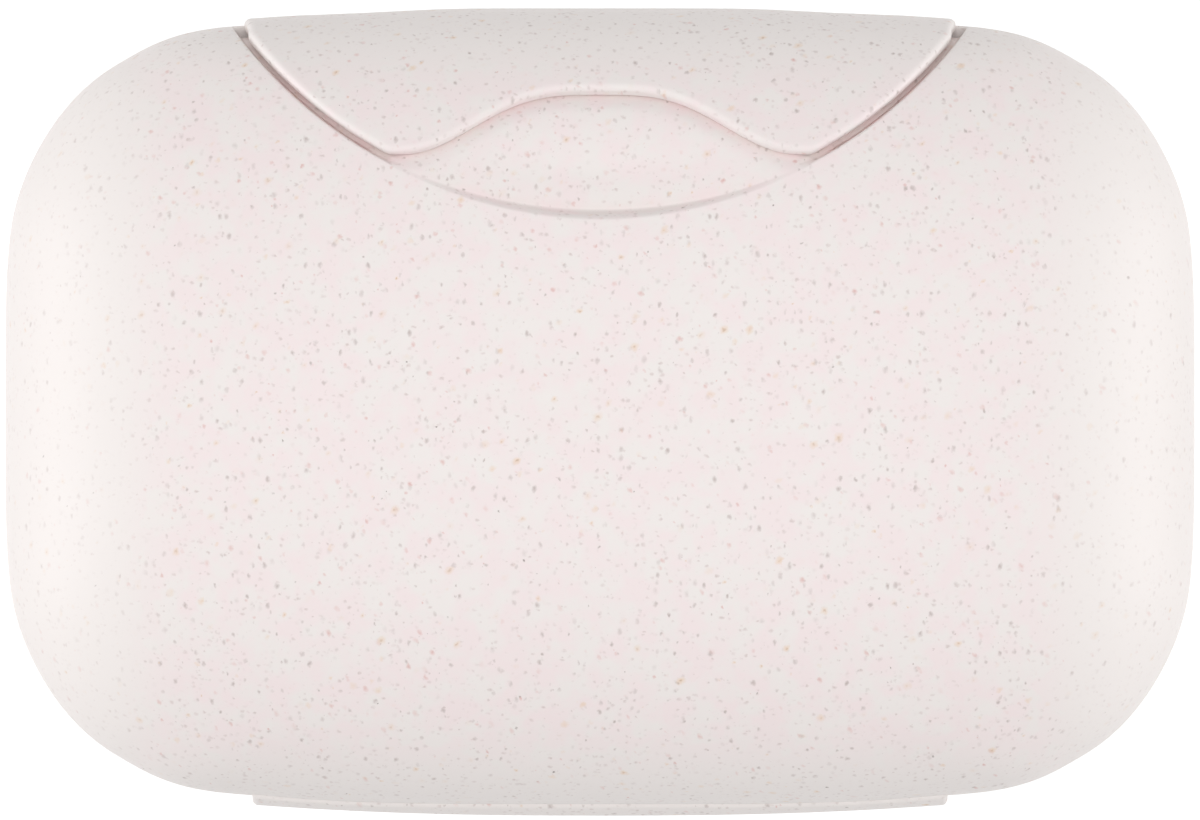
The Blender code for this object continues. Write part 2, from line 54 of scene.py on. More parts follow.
# Straw plastic
# Polypropylene filled with ground wheat straw: a pale pinkish white with a soft mottle, full of fine
# grey, pink, ochre and a few dark brown flecks, with a matt moulded skin. A painted highlight makes it
# creamier at the sides and thins the flecks towards its left and right ends.
STRAW_PINK = (0.896, 0.788, 0.786)
CREAM_MOTTLE_AND_HIGHLIGHT = (0.874, 0.822, 0.800)
MOTTLE_SCALE = 400.0
MOTTLE_RANGE = (0.38, 0.62)
# Painted highlight: from these places on, the ends of the box turn creamier and their flecks fainter
HIGHLIGHT_SIDES = ((0, 0.039, 0.047), (1, 0.029, 0.036))    # axis, where the creamier side starts and is full
HIGHLIGHT_FLECKS = 0.5
STRAW_ROUGHNESS = 0.55
ROUGHNESS_SPREAD = 0.07
ROUGHNESS_SCALE = 900.0
STRAW_GLOSS = 0.7
# Painted shade: the colour is multiplied by this tone deep in the lid's groove beside the flap
GROOVE_SHADE_TONE = (1.0, 0.915, 0.90)
SKIN_SCALE = 2400.0
SKIN_STRENGTH = 0.12
SKIN_DEPTH = 0.05 * MM
FLECK_LIFT = 0.5
FLECK_BEND = 0.42 * MM
FLECK_BEND_SCALE = 2600.0
FLECK_STRENGTH_POWER = 1.6
FLECK_TURN = (0.7, 1.0, 1.9)
FLECK_TILT = (0.0, 0.4, 0.0)
FLECKS = (
    # turn, cells per metre, reach, softness, stretch, cover, colour
    (0.0, 1450, 0.465, 0.18, (1.0, 1.35, 1.0), 0.92, (0.500, 0.415, 0.395)),
    (1.0, 2000, 0.50, 0.20, (1.0, 1.0, 1.3), 0.70, (0.590, 0.480, 0.460)),
    (2.0, 950, 0.31, 0.20, (1.0, 1.8, 1.0), 0.75, (0.680, 0.385, 0.350)),
    (3.0, 760, 0.33, 0.12, (1.5, 1.0, 1.2), 0.80, (0.790, 0.580, 0.400)),
    (3.0, 760, 0.12, 0.30, (1.5, 1.0, 1.2), 0.60, (0.500, 0.330, 0.240)),
    (4.0, 560, 0.085, 0.45, (1.0, 1.4, 1.2), 0.95, (0.235, 0.170, 0.150)),
)


def feed(tree, node, inputs):
    """Give each named input of a node a value or a socket."""
    for name, value in dict(inputs).items():
        if isinstance(value, bpy.types.NodeSocket):
            tree.links.new(value, node.inputs[name])
        else:
            node.inputs[name].default_value = value


def put(tree, kind, inputs=(), **settings):
    """Add a node, set its properties and feed its inputs."""
    node = tree.nodes.new(kind)
    for name, value in settings.items():
        setattr(node, name, value)
    feed(tree, node, inputs)
    return node


def maths(tree, operation, *values, clamp=False):
    """The result of one sum on values or sockets."""
    return put(tree, "ShaderNodeMath", dict(enumerate(values)), operation=operation, use_clamp=clamp).outputs[0]


def remap(tree, value, start=0.0, end=1.0, low=0.0, high=1.0, shape="LINEAR"):
    """A value carried over from one range to another."""
    ranges = {"Value": value, "From Min": start, "From Max": end, "To Min": low, "To Max": high}
    return put(tree, "ShaderNodeMapRange", ranges, interpolation_type=shape).outputs[0]


def noise(tree, place, scale, detail, output="Fac"):
    """A noise over the coordinates."""
    return put(tree, "ShaderNodeTexNoise", {"Vector": place, "Scale": scale, "Detail": detail}).outputs[output]


def mix(tree, factor, first, second, way="MIX"):
    """Two colours mixed."""
    return put(tree, "ShaderNodeMix", {"Factor": factor, 6: first, 7: second}, data_type="RGBA",
               blend_type=way).outputs[2]


def new_material(name):
    """A material with its node tree and its shader."""
    material = bpy.data.materials.new(name)
    material.use_nodes = True
    return material, material.node_tree, material.node_tree.nodes["Principled BSDF"]


def own_place(tree):
    """The object's own coordinates."""
    return put(tree, "ShaderNodeTexCoord").outputs["Object"]


def dress(tree, shader, colour, rough, height, strength, depth):
    """Feed the shader its colour, its roughness and a relief."""
    relief = put(tree, "ShaderNodeBump", {"Height": height, "Strength": strength, "Distance": depth}).outputs[0]
    feed(tree, shader, {"Base Color": colour, "Roughness": rough, "Normal": relief})


def make_fleck_group():
    """Scattered grains: a mask of irregular spots, each with its own size and strength."""
    tree = bpy.data.node_groups.new("straw_flecks", "ShaderNodeTree")
    for label, kind in (("Per Metre", "Float"), ("Reach", "Float"), ("Softness", "Float"),
                        ("Stretch", "Vector"), ("Turn", "Vector")):
        tree.interface.new_socket(label, in_out="INPUT", socket_type="NodeSocket" + kind)
    tree.interface.new_socket("Mask", in_out="OUTPUT", socket_type="NodeSocketFloat")
    given = put(tree, "NodeGroupInput").outputs
    turned = put(tree, "ShaderNodeVectorRotate", {"Vector": own_place(tree), "Rotation": given["Turn"]},
                 rotation_type="EULER_XYZ").outputs["Vector"]
    cells = put(tree, "ShaderNodeVectorMath", {0: turned, 1: given["Stretch"]}, operation="DIVIDE").outputs[0]
    ragged = noise(tree, cells, FLECK_BEND_SCALE, 2.0, "Color")
    centred = put(tree, "ShaderNodeVectorMath", {0: ragged, 1: (0.5,) * 3}, operation="SUBTRACT").outputs[0]
    bent = put(tree, "ShaderNodeVectorMath", {0: centred, 1: (FLECK_BEND,) * 3, 2: cells},
               operation="MULTIPLY_ADD").outputs[0]
    grain = put(tree, "ShaderNodeTexVoronoi", {"Vector": bent, "Scale": given["Per Metre"]})
    chance = put(tree, "ShaderNodeSeparateXYZ", {"Vector": grain.outputs["Color"]}).outputs
    edge = maths(tree, "MULTIPLY", given["Reach"], chance["X"])
    core = maths(tree, "MULTIPLY", edge, given["Softness"])
    spot = remap(tree, grain.outputs["Distance"], edge, core)
    strength = maths(tree, "POWER", chance["Y"], FLECK_STRENGTH_POWER)
    put(tree, "NodeGroupOutput", {"Mask": maths(tree, "MULTIPLY", spot, strength)})
    return tree


fleck_group = make_fleck_group()


def straw_material(name, tint, fleck_share, roughness):
    """The flecked plastic; tint multiplies the ground colour and fleck_share thins the flecks."""
    material, tree, shader = new_material(name)
    place = own_place(tree)
    mottle_and_highlight = remap(tree, noise(tree, place, MOTTLE_SCALE, 3.0), *MOTTLE_RANGE)
    across = put(tree, "ShaderNodeSeparateXYZ", {"Vector": place}).outputs
    # Painted highlight: creamier towards the left and right ends and the front and back, with the flecks
    # thinned towards the left and right ends
    sides = []
    for axis, start, end in HIGHLIGHT_SIDES:
        sides.append(remap(tree, maths(tree, "ABSOLUTE", across[axis]), start, end, shape="SMOOTHSTEP"))
        mottle_and_highlight = maths(tree, "MAXIMUM", mottle_and_highlight, sides[-1])
    highlight_thinned = remap(tree, sides[0], high=HIGHLIGHT_FLECKS, low=1.0)
    tinted = [[c * t for c, t in zip(colour, tint)] + [1] for colour in (STRAW_PINK, CREAM_MOTTLE_AND_HIGHLIGHT)]
    colour = mix(tree, mottle_and_highlight, *tinted)
    masks = []
    for turn, per_metre, reach, softness, stretch, cover, fleck_colour in FLECKS:
        turned = [share * turn + tilt for share, tilt in zip(FLECK_TURN, FLECK_TILT)]
        flecks = put(tree, "ShaderNodeGroup", {"Per Metre": per_metre, "Reach": reach, "Softness": softness,
                                               "Stretch": stretch, "Turn": turned}, node_tree=fleck_group)
        share = maths(tree, "MULTIPLY", highlight_thinned, cover * fleck_share)
        masks.append(maths(tree, "MULTIPLY", flecks.outputs["Mask"], share, clamp=True))
        colour = mix(tree, masks[-1], colour, (*fleck_colour, 1))
    # Painted shade: the groove attribute darkens and warms the colour deep in the lid's groove
    groove_shade = put(tree, "ShaderNodeAttribute", attribute_name="groove").outputs["Fac"]
    colour = mix(tree, groove_shade, colour, (*GROOVE_SHADE_TONE, 1), "MULTIPLY")
    rough = remap(tree, noise(tree, place, ROUGHNESS_SCALE, 3.0), low=roughness - ROUGHNESS_SPREAD,
                  high=roughness + ROUGHNESS_SPREAD)
    lifted = maths(tree, "MULTIPLY_ADD", masks[0], FLECK_LIFT, noise(tree, place, SKIN_SCALE, 2.0))
    dress(tree, shader, colour, rough, lifted, SKIN_STRENGTH, SKIN_DEPTH)
    shader.inputs["Specular IOR Level"].default_value = STRAW_GLOSS
    return material


straw_plastic = straw_material("straw_plastic", (1.0, 1.0, 1.0), 1.0, STRAW_ROUGHNESS)


# Lid
# The upper half shell, one moulding 2.4 mm thick. A lens-shaped recess at its front takes the latch
# flap, a channel under its rim takes the soft ring, and the rear skirt carries the hinge barrels.
seal_low, seal_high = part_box("seal_ring")
TONGUE_OUTER = 2.2 * MM
SHELL_Y = (seal_low.y + seal_high.y) / 2
HALF_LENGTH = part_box("base_shell")[1].x
HALF_WIDTH = (seal_high.y - seal_low.y) / 2 + TONGUE_OUTER
SEAM_Z = 21 * MM
SEAM_GAP = 0.3 * MM
LID_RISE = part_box("lid_shell")[1].z - SEAM_Z
WALL = 2.4 * MM
RIM_POWER = 4.2
CROWN_POWER = 2.4
PROFILE_POWER = 2.5
CAP_INSET = 4.0 * MM
CAP_COLUMNS = 110
CAP_ROWS = 74
RIM_ROUND = 0.3 * MM
RIM_STEPS = 3
TOP_RING = 11.0 * MM
RING_LEVELS = np.linspace(TOP_RING, SEAM_GAP / 2 + RIM_ROUND, 15)
INNER_RING = 7
CORNER_TRIM = 0.010
CORNER_TRIM_TURNS = (38, 14)
CORNER_FULL = 0.009
CORNER_FULL_TURNS = (54, 7)
CORNER_REACH = 0.75
RECESS_RADIUS = 43.7 * MM
RECESS_APEX = 18.75 * MM
RECESS_CENTRE_Y = -(RECESS_APEX + RECESS_RADIUS)
RECESS_RIM_DEPTH = 1.0 * MM
RECESS_APEX_DEPTH = 0.5 * MM
RECESS_MID_GAIN = 0.7 * MM
RECESS_SIDE_GAIN = 0.75 * MM
RECESS_MID_RUN = 8.0 * MM
RECESS_SIDE_RUN = 20.0 * MM
RECESS_RIM_RUN = 5.0 * MM
RECESS_BACKING = 1.3 * MM
STEP_ROUND = 0.22 * MM
STEP_REACH = 0.59 * MM
STEP_SQUEEZE = 0.9
STEP_LOOPS = 14
STEP_CORNER = 0.4
HOLD_RUN = 6.0 * MM
EXTRA_ARC = -1.0 * MM
TUBE_STEPS = 40
EDGE_STEPS = 6
CUT_SNAP = 0.0001 * MM
WELD = 0.001 * MM
OUTER_REACH = 3 * MM
CENTRE_SHARE = 0.9999
HALVINGS = 40
SLOPE_STEP = 0.01 * MM
LEAN_LIMIT = 0.2
SETTLE_ROUNDS = 3
SINK_ROUNDS = 4
FINE_MARGIN = 2 * MM
FINE_FRONT = 4 * MM
FINE_WALL = 1.2 * MM
CREASE = 35
# Inset and height in millimetres, from the rim's flat face round the channel and the lip
LID_RIM_SECTION = ((1.75, 21.15), (1.9, 21.3), (1.9, 24.1), (2.0, 24.2), (3.2, 24.2), (3.3, 24.1), (3.3, 22.7),
                   (3.4, 22.6), (4.1, 22.6), (4.2, 22.7), (4.2, 25.1), (4.0, 25.5), (3.3, 26.1))


def power_at(inset):
    """The superellipse's power, which falls from the rim to the crown."""
    return RIM_POWER + (CROWN_POWER - RIM_POWER) * inset / HALF_WIDTH


def outline(inset, turn, power=None):
    """A point of the plan's superellipse drawn in by inset, by its direction in the unit square."""
    power = power or power_at(inset)
    across, along = math.cos(turn), math.sin(turn)
    reach = (abs(across) ** power + abs(along) ** power) ** (-1 / power)
    return (HALF_LENGTH - inset) * across * reach, (HALF_WIDTH - inset) * along * reach


def inset_at(points):
    """How far inside the seam's outline each point lies in plan, found by halving."""
    x, y = abs(points[:, 0]), abs(points[:, 1])
    low = np.full(len(points), -OUTER_REACH)
    high = np.full(len(points), HALF_WIDTH * CENTRE_SHARE)
    for _ in range(HALVINGS):
        middle = (low + high) / 2
        power = power_at(middle)
        inside = (x / (HALF_LENGTH - middle)) ** power + (y / (HALF_WIDTH - middle)) ** power < 1
        low = np.where(inside, middle, low)
        high = np.where(inside, high, middle)
    return (low + high) / 2


def height_at(inset, rise):
    """How far from the seam the shell has risen at that inset."""
    return rise * (1 - (1 - inset / HALF_WIDTH) ** PROFILE_POWER) ** (1 / PROFILE_POWER)


def inset_for(height, rise):
    """The inset at which the shell has risen to that height."""
    return HALF_WIDTH * (1 - (1 - (height / rise) ** PROFILE_POWER) ** (1 / PROFILE_POWER))


def outside(points, rise):
    """Above zero outside the half shell of that rise, zero on its surface."""
    across = 1 - inset_at(points) / HALF_WIDTH
    return across ** PROFILE_POWER + (abs(points[:, 2] - SEAM_Z) / rise) ** PROFILE_POWER - 1


def slope(points, rise):
    """The gradient of outside()."""
    return np.stack([(outside(points + shift, rise) - outside(points - shift, rise)) / (2 * SLOPE_STEP)
                     for shift in np.eye(3) * SLOPE_STEP], 1)


def settle(points, rise):
    """Bring points near the surface onto it."""
    for _ in range(SETTLE_ROUNDS):
        way = slope(points, rise)
        points = points - way * (outside(points, rise) / (way ** 2).sum(1))[:, None]
    return points


def normals(points, rise):
    """Outward unit normals of the surface."""
    way = slope(points, rise)
    return way / np.linalg.norm(way, axis=1)[:, None]


def read(bm):
    """The mesh's points as an array."""
    return np.array([vert.co for vert in bm.verts], float)


def write(bm, points):
    """Move the mesh's points."""
    for vert, point in zip(bm.verts, points):
        vert.co = point


def mesh_from(bm, name):
    """A mesh of what is in bm, which is used up."""
    mesh = bpy.data.meshes.new(name)
    bm.to_mesh(mesh)
    bm.free()
    return mesh


def new_object(name, data):
    """An object of that data in the scene."""
    made = bpy.data.objects.new(name, data)
    bpy.context.scene.collection.objects.link(made)
    return made


def take_in(bm, other):
    """Join the other bmesh into bm."""
    mesh = mesh_from(other, "taken_in")
    bm.from_mesh(mesh)
    bpy.data.meshes.remove(mesh)


def rim_edges(bm):
    """The open edges of a sheet."""
    return [edge for edge in bm.edges if edge.is_boundary]


def grow_rim(bm, place, edges=None):
    """Extrude the open rim, or a loop, and return the new loop; place gives its points from turn and old."""
    turn = bm.verts.layers.float["turn"]
    grown = bmesh.ops.extrude_edge_only(bm, edges=edges or rim_edges(bm))["geom"]
    verts = {item for item in grown if isinstance(item, bmesh.types.BMVert)}
    for vert in verts:
        vert.co = place(vert[turn], vert.co)
    return [item for item in grown if isinstance(item, bmesh.types.BMEdge) and verts.issuperset(item.verts)]


def make_sheet(rise, side):
    """The outer surface of one half shell: a grid over its middle and rings down to its rim."""
    bm = bmesh.new()
    turn = bm.verts.layers.float.new("turn")
    bmesh.ops.create_grid(bm, x_segments=CAP_COLUMNS, y_segments=CAP_ROWS, size=1)
    for vert in bm.verts:
        vert[turn] = math.atan2(vert.co.y, vert.co.x)
        share = max(abs(vert.co.x), abs(vert.co.y))
        x, y = outline(CAP_INSET, vert[turn])
        vert.co = (share * x, share * y, SEAM_Z)
    points = read(bm)
    points[:, 2] = SEAM_Z + side * height_at(inset_at(points), rise)
    write(bm, points)
    for level in RING_LEVELS:
        inset = inset_for(level, rise)
        grow_rim(bm, lambda angle, old: (*outline(inset, angle), SEAM_Z + side * level))
    return bm


def cut(bm, spot, way, geom=None, **more):
    """Cut the mesh, or some of it, along a plane."""
    bmesh.ops.bisect_plane(bm, geom=geom or bm.verts[:] + bm.edges[:] + bm.faces[:], dist=CUT_SNAP,
                           plane_co=spot, plane_no=way, **more)


def cut_arcs(bm, offsets):
    """Cut the sheet along upright arcs about the recess's centre, each at an offset from its wall."""
    for vert in bm.verts:
        x, y = vert.co.x, vert.co.y - RECESS_CENTRE_Y
        vert.co.x, vert.co.y = math.atan2(x, y) * RECESS_RADIUS, math.hypot(x, y)
    for offset in offsets:
        cut(bm, (0, RECESS_RADIUS + offset, 0), (0, 1, 0))
    for vert in bm.verts:
        angle, radius = vert.co.x / RECESS_RADIUS, vert.co.y
        vert.co.x, vert.co.y = radius * math.sin(angle), RECESS_CENTRE_Y + radius * math.cos(angle)


def cut_planes(bm, axis, places, wanted):
    """Cut the wanted faces along planes square to an axis."""
    way = Matrix.Identity(3)[axis].copy()
    for place in places:
        faces = [face for face in bm.faces if wanted(face.calc_center_median())]
        parts = {part for face in faces for part in (face, *face.edges, *face.verts)}
        cut(bm, way * place, way, list(parts))


def step_offsets(reach):
    """Where the loops of a rounded step are cut, from outside to inside."""
    return [reach * (1 - 2 * index / STEP_LOOPS) for index in range(STEP_LOOPS + 1)]


def step_shape(offset, depth, reach, softness=0.0, squeeze=1.0):
    """A step at each offset from its wall: where the point goes, and how deep it lies.

    A hard step has two round corners; a soft one is a long S, which squeeze makes narrower.
    """
    share = np.clip((reach - offset) / (2 * reach), 0, 1)
    radius = np.minimum(STEP_ROUND, depth / 2)
    top = np.clip(share / STEP_CORNER, 0, 1) * math.pi / 2
    bottom = np.clip((share - 1 + STEP_CORNER) / STEP_CORNER, 0, 1) * math.pi / 2
    straight = np.clip((share - STEP_CORNER) / (1 - 2 * STEP_CORNER), 0, 1)
    away = radius * (1 - np.sin(top)) - radius * (1 - np.cos(bottom))
    down = radius * (1 - np.cos(top)) + (depth - 2 * radius) * straight + radius * np.sin(bottom)
    narrowed = np.clip((share - 0.5) * squeeze + 0.5, 0, 1)
    down = blend(down, depth * ease_long(narrowed), softness)
    away = np.where(abs(offset) < reach, blend(away, reach * (1 - 2 * share), softness), offset)
    return away, np.where(offset < -reach, depth, down)


def recess_offset(points):
    """Distance in plan from the recess's wall, below zero inside it."""
    return np.hypot(points[:, 0], points[:, 1] - RECESS_CENTRE_Y) - RECESS_RADIUS


def ease(share):
    """A share from 0 to 1 with soft ends."""
    share = np.clip(share, 0, 1)
    return share * share * (3 - 2 * share)


def blend(first, second, share):
    """From the first value to the second."""
    return first + (second - first) * share


def ease_long(share):
    """A share from 0 to 1 with long soft ends."""
    return share ** 3 * (share * (6 * share - 15) + 10)


def recess_depth(points):
    """Full depth of the lid's recess: shallow at its apex, deeper at its sides and its middle."""
    mid = ease((-points[:, 1] - RECESS_APEX) / RECESS_MID_RUN)
    sides = np.clip(abs(points[:, 0]) / RECESS_SIDE_RUN, 0, 1) ** 2
    full = RECESS_APEX_DEPTH + RECESS_MID_GAIN * mid + RECESS_SIDE_GAIN * sides
    return blend(RECESS_RIM_DEPTH, full, ease(inset_at(points) / RECESS_RIM_RUN))


# The flap's outline, which the scoop in front of its arch follows
FLAP_GAP = 1.0 * MM
FLAP_RADIUS = RECESS_RADIUS - FLAP_GAP
FLAP_BOTTOM = SEAM_Z - 4.1 * MM
ARCH_REACH = 30.93 * MM
ARCH_RISE = 6.0 * MM
ARCH_SPAN = 19.0 * MM
ARCH_POWER = 3.5
TIP_ROUND = 1.4 * MM
FLAP_CORNER_TRIM = 0.36 * MM
FLAP_CORNER_RUN = 0.75 * MM
SCOOP_DEPTH = 1.54 * MM
SCOOP_RIM = 0.1 * MM
SCOOP_FADE_SHARE = 0.76
SCOOP_FADE_START = 22.0 * MM
SCOOP_FADE_RUN = 8.0 * MM
SCOOP_HALF = 17.5 * MM
SCOOP_END = 20.6 * MM
SCOOP_END_RUN = 2.0 * MM
GROOVE_RIM_DEPTH = 1.25 * MM
GROOVE_DEPTH = 1.68 * MM
GROOVE_START = 19.0 * MM
GROOVE_RUN = 4.5 * MM
GROOVE_RIM = 2.0 * MM
GROOVE_RIM_RUN = 3.0 * MM
FLAP_BED = 0.8 * MM
# Painted shade in the groove: the depth where it is full, how far it runs from the wall and under the flap, and
# how much of it the scoop gets
GROOVE_SHADE_DEPTH = 1.0 * MM
GROOVE_SHADE_RUN = 1.0 * MM
GROOVE_SHADE_HIDDEN = 0.4 * MM
SCOOP_SHADE = 0.25
BED_START = 0.1 * MM
BED_RUN = 0.7 * MM
SCOOP_BED_RUN = 1.9 * MM


def rounded_corner(first, second, radius):
    """The larger of two distances, with the corner between them rounded."""
    reach = np.hypot(np.maximum(first + radius, 0), np.maximum(second + radius, 0))
    return np.minimum(np.maximum(first, second), -radius + reach)


def flap_offset(points):
    """Distance from the flap's outline, below zero on the flap."""
    x, y, z = points.T
    arc = np.hypot(x, y - RECESS_CENTRE_Y) - FLAP_RADIUS
    arc += FLAP_CORNER_TRIM * ease(1 - inset_at(points) / FLAP_CORNER_RUN)
    turn = math.pi * np.minimum(np.abs(x), ARCH_SPAN) / (2 * ARCH_SPAN)
    arch_y = -ARCH_REACH + ARCH_RISE * np.sin(turn) ** ARCH_POWER
    lean = (math.pi / (2 * ARCH_SPAN) * ARCH_RISE * ARCH_POWER * np.sin(turn) ** (ARCH_POWER - 1)
            * np.cos(turn))
    arch = (y - arch_y) / np.hypot(1, lean)
    bottom = FLAP_BOTTOM - z
    return rounded_corner(rounded_corner(arc, arch, TIP_ROUND), bottom, TIP_ROUND)


def in_scoop(points):
    """1 over the scoop's width and 0 beyond its ends."""
    return ease((SCOOP_END - abs(points[:, 0])) / SCOOP_END_RUN)


def recess_floor(points):
    """Depth of the open recess: even under the flap and beside it, and dished before its arch."""
    x, y = abs(points[:, 0]), points[:, 1]
    middle = SCOOP_DEPTH * (1 - SCOOP_FADE_SHARE * ease((-y - SCOOP_FADE_START) / SCOOP_FADE_RUN))
    scoop = blend(SCOOP_RIM, middle, np.clip(1 - (x / SCOOP_HALF) ** 2, 0, 1))
    groove = blend(GROOVE_RIM_DEPTH, GROOVE_DEPTH, ease((inset_at(points) - GROOVE_RIM) / GROOVE_RIM_RUN))
    bare = blend(scoop, groove, ease((x - GROOVE_START) / GROOVE_RUN))
    run = blend(BED_RUN, SCOOP_BED_RUN, in_scoop(points))
    bed = blend(RECESS_RIM_DEPTH, FLAP_BED, in_scoop(points))
    return blend(bed, bare, ease((flap_offset(points) - BED_START) / run))


def sink(points, depth, offset_goal, hold, rise):
    """Move points into the shell by depth; where held, they keep their offset from the wall."""
    feet = points
    for _ in range(SINK_ROUNDS):
        outward = normals(feet, rise)
        sunk = feet - outward * depth[:, None]
        radial = np.stack([sunk[:, 0], sunk[:, 1] - RECESS_CENTRE_Y, np.zeros(len(sunk))], 1)
        radial /= np.linalg.norm(radial, axis=1)[:, None]
        along = radial - outward * (radial * outward).sum(1)[:, None]
        error = (offset_goal - recess_offset(sunk)) * hold
        feet = settle(feet + along * (error / np.maximum((along * radial).sum(1), LEAN_LIMIT))[:, None], rise)
    return feet - normals(feet, rise) * depth[:, None]


def lid_wall(points):
    """The lid's wall thickness: it steps inward behind the deep parts of the recess."""
    near = np.clip(1 - recess_offset(points) / WALL, 0, 1)
    return WALL + np.maximum(recess_depth(points) + RECESS_BACKING - WALL, 0) * near


def split_inner(bm, side):
    """A copy of the sheet without its lowest rings, for the inside of the wall."""
    inner = bm.copy()
    level = RING_LEVELS[INNER_RING]
    low = [face for face in inner.faces if side * (face.calc_center_median().z - SEAM_Z) < level - WELD]
    bmesh.ops.delete(inner, geom=low, context="FACES")
    return inner


def round_rim(bm, side):
    """Round the outer edge of the rim, from the last ring to the rim's flat face."""
    for index in range(RIM_STEPS):
        first, last = (math.pi / 2 * place / RIM_STEPS for place in (index, index + 1))
        start, end = RIM_ROUND * (1 - math.cos(first)), RIM_ROUND * (1 - math.cos(last))
        drop = RIM_ROUND * (math.sin(last) - math.sin(first))

        def place(angle, old):
            x0, y0 = outline(start, angle, RIM_POWER)
            x1, y1 = outline(end, angle, RIM_POWER)
            return (old.x + x1 - x0, old.y + y1 - y0, old.z - side * drop)
        grow_rim(bm, place)


def close_wall(bm, inner):
    """Join the inside sheet and bridge it to the last loop of the rim."""
    take_in(bm, inner)
    bmesh.ops.bridge_loops(bm, edges=rim_edges(bm))


def islands(parts):
    """One bmesh of several closed ones, each with its faces pointing outward."""
    whole = bmesh.new()
    for part in parts:
        bmesh.ops.recalc_face_normals(part, faces=part.faces[:])
        take_in(whole, part)
    return whole


def lobe(turn, middle, half):
    """A smooth hump over a range of turns, 1 at its middle."""
    return (1 + np.cos(math.pi * np.clip((turn - middle) / half, -1, 1))) / 2


def trim_corners(points):
    """Make the plan a little rounder at its corners, and fuller beside the latch and the skirt."""
    across, along = abs(points[:, 0]) / HALF_LENGTH, abs(points[:, 1]) / HALF_WIDTH
    turn = np.degrees(np.arctan2(along, across))
    reach = (across ** RIM_POWER + along ** RIM_POWER) ** (1 / RIM_POWER)
    gain = CORNER_FULL * lobe(turn, *CORNER_FULL_TURNS) - CORNER_TRIM * lobe(turn, *CORNER_TRIM_TURNS)
    points[:, :2] *= (1 + gain * ease((reach - CORNER_REACH) / (1 - CORNER_REACH)))[:, None]
    return points


def finish_piece(name, parts, body, node, material):
    """Make one object of the parts in the frame's own place, and let it stand for its CAD node."""
    bm = islands(parts)
    write(bm, trim_corners(read(bm)))
    bmesh.ops.translate(bm, verts=bm.verts[:], vec=(0, SHELL_Y, 0))
    mesh = mesh_from(bm, name)
    mesh.shade_smooth()
    mesh.set_sharp_from_angle(angle=math.radians(CREASE))
    mesh.materials.append(material)
    piece = new_object(name, mesh)
    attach(piece, body)
    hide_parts(node)
    return piece


def in_fine_area(centre):
    """Whether a face lies about the finger scoop or the recess's wall, where the mesh is finer."""
    scoop = (abs(centre.x) < SCOOP_END + FINE_MARGIN
             and -ARCH_REACH - FINE_FRONT < centre.y < -RECESS_APEX + FINE_MARGIN)
    return scoop or abs(math.hypot(centre.x, centre.y - RECESS_CENTRE_Y) - RECESS_RADIUS) < FINE_WALL


def make_lid_body():
    """The half shell itself, with its recess, rim, channel, lip and inside."""
    bm = make_sheet(LID_RISE, 1)
    cut_arcs(bm, step_offsets(STEP_REACH) + [EXTRA_ARC, WALL])
    inner = split_inner(bm, 1)
    fine = [face for face in bm.faces if in_fine_area(face.calc_center_median())]
    bmesh.ops.subdivide_edges(bm, edges=list({edge for face in fine for edge in face.edges}), cuts=2,
                              use_grid_fill=True)
    points = settle(read(bm), LID_RISE)
    offset = recess_offset(points)
    softness = in_scoop(points)
    squeeze = 1 + STEP_SQUEEZE * (points[:, 0] / SCOOP_HALF) ** 2
    away, depth = step_shape(offset, recess_floor(points), STEP_REACH, softness, squeeze)
    hold = ease(1 + (offset + STEP_REACH) / HOLD_RUN) * (depth > 0)
    write(bm, np.where((depth > 0)[:, None], sink(points, depth, away, hold, LID_RISE), points))
    at_wall = np.clip(1 + (offset + STEP_REACH) / GROOVE_SHADE_RUN, 0, 1) * (1 - (1 - SCOOP_SHADE) * softness)
    from_flap = flap_offset(points)
    beside = np.clip(1 - from_flap / GROOVE_SHADE_RUN, 0, 1) * np.clip(1 + from_flap / GROOVE_SHADE_HIDDEN, 0, 1)
    # Painted shade: how far each point lies in the groove, where the colour is darkened and warmed to stand for
    # light caught between pink walls
    shade_amounts = np.clip(depth / GROOVE_SHADE_DEPTH, 0, 1) * np.maximum(at_wall, beside) * (offset < 0)
    layer = bm.verts.layers.float.new("groove")
    for vert, amount in zip(bm.verts, shade_amounts):
        vert[layer] = amount
    round_rim(bm, 1)
    for inset, z in LID_RIM_SECTION:
        grow_rim(bm, lambda angle, old: (*outline(inset * MM, angle, RIM_POWER), z * MM))
    inside = settle(read(inner), LID_RISE)
    write(inner, inside - normals(inside, LID_RISE) * lid_wall(inside)[:, None])
    close_wall(bm, inner)
    return bm


def tube(axis, outer, inner, x_low, x_high, chamfer):
    """A round sleeve along X about an axis, with its corners taken off; solid if inner is 0."""
    bm = bmesh.new()
    corners = ((x_low, inner), (x_low, outer - chamfer), (x_low + chamfer, outer), (x_high - chamfer, outer),
               (x_high, outer - chamfer), (x_high, inner))
    ring = [bm.verts.new((x, axis[0], axis[1] + radius)) for x, radius in corners]
    edges = [bm.edges.new((ring[index], ring[(index + 1) % len(ring)])) for index in range(len(ring))]
    bmesh.ops.spin(bm, geom=ring + edges, cent=(0, *axis), axis=(1, 0, 0), angle=math.tau,
                   steps=TUBE_STEPS, use_merge=True, use_duplicate=False)
    bmesh.ops.remove_doubles(bm, verts=bm.verts[:], dist=WELD)
    return bm


def round_edges(bm, edges, radius):
    """Round some edges with three facets."""
    bmesh.ops.bevel(bm, geom=edges, offset=radius, offset_type="OFFSET", affect="EDGES", segments=3,
                    profile=0.5, material=-1)


def soft_block(low, high, radius):
    """A box between two corners with rounded edges."""
    bm = bmesh.new()
    bmesh.ops.create_cube(bm, size=1)
    for vert in bm.verts:
        vert.co = [b if c > 0 else a for a, b, c in zip(low, high, vert.co)]
    round_edges(bm, bm.edges[:], radius)
    return bm


def span(hand, start, end):
    """A stretch along X on one hand of the box, low end first."""
    return (start, end) if hand > 0 else (-end, -start)


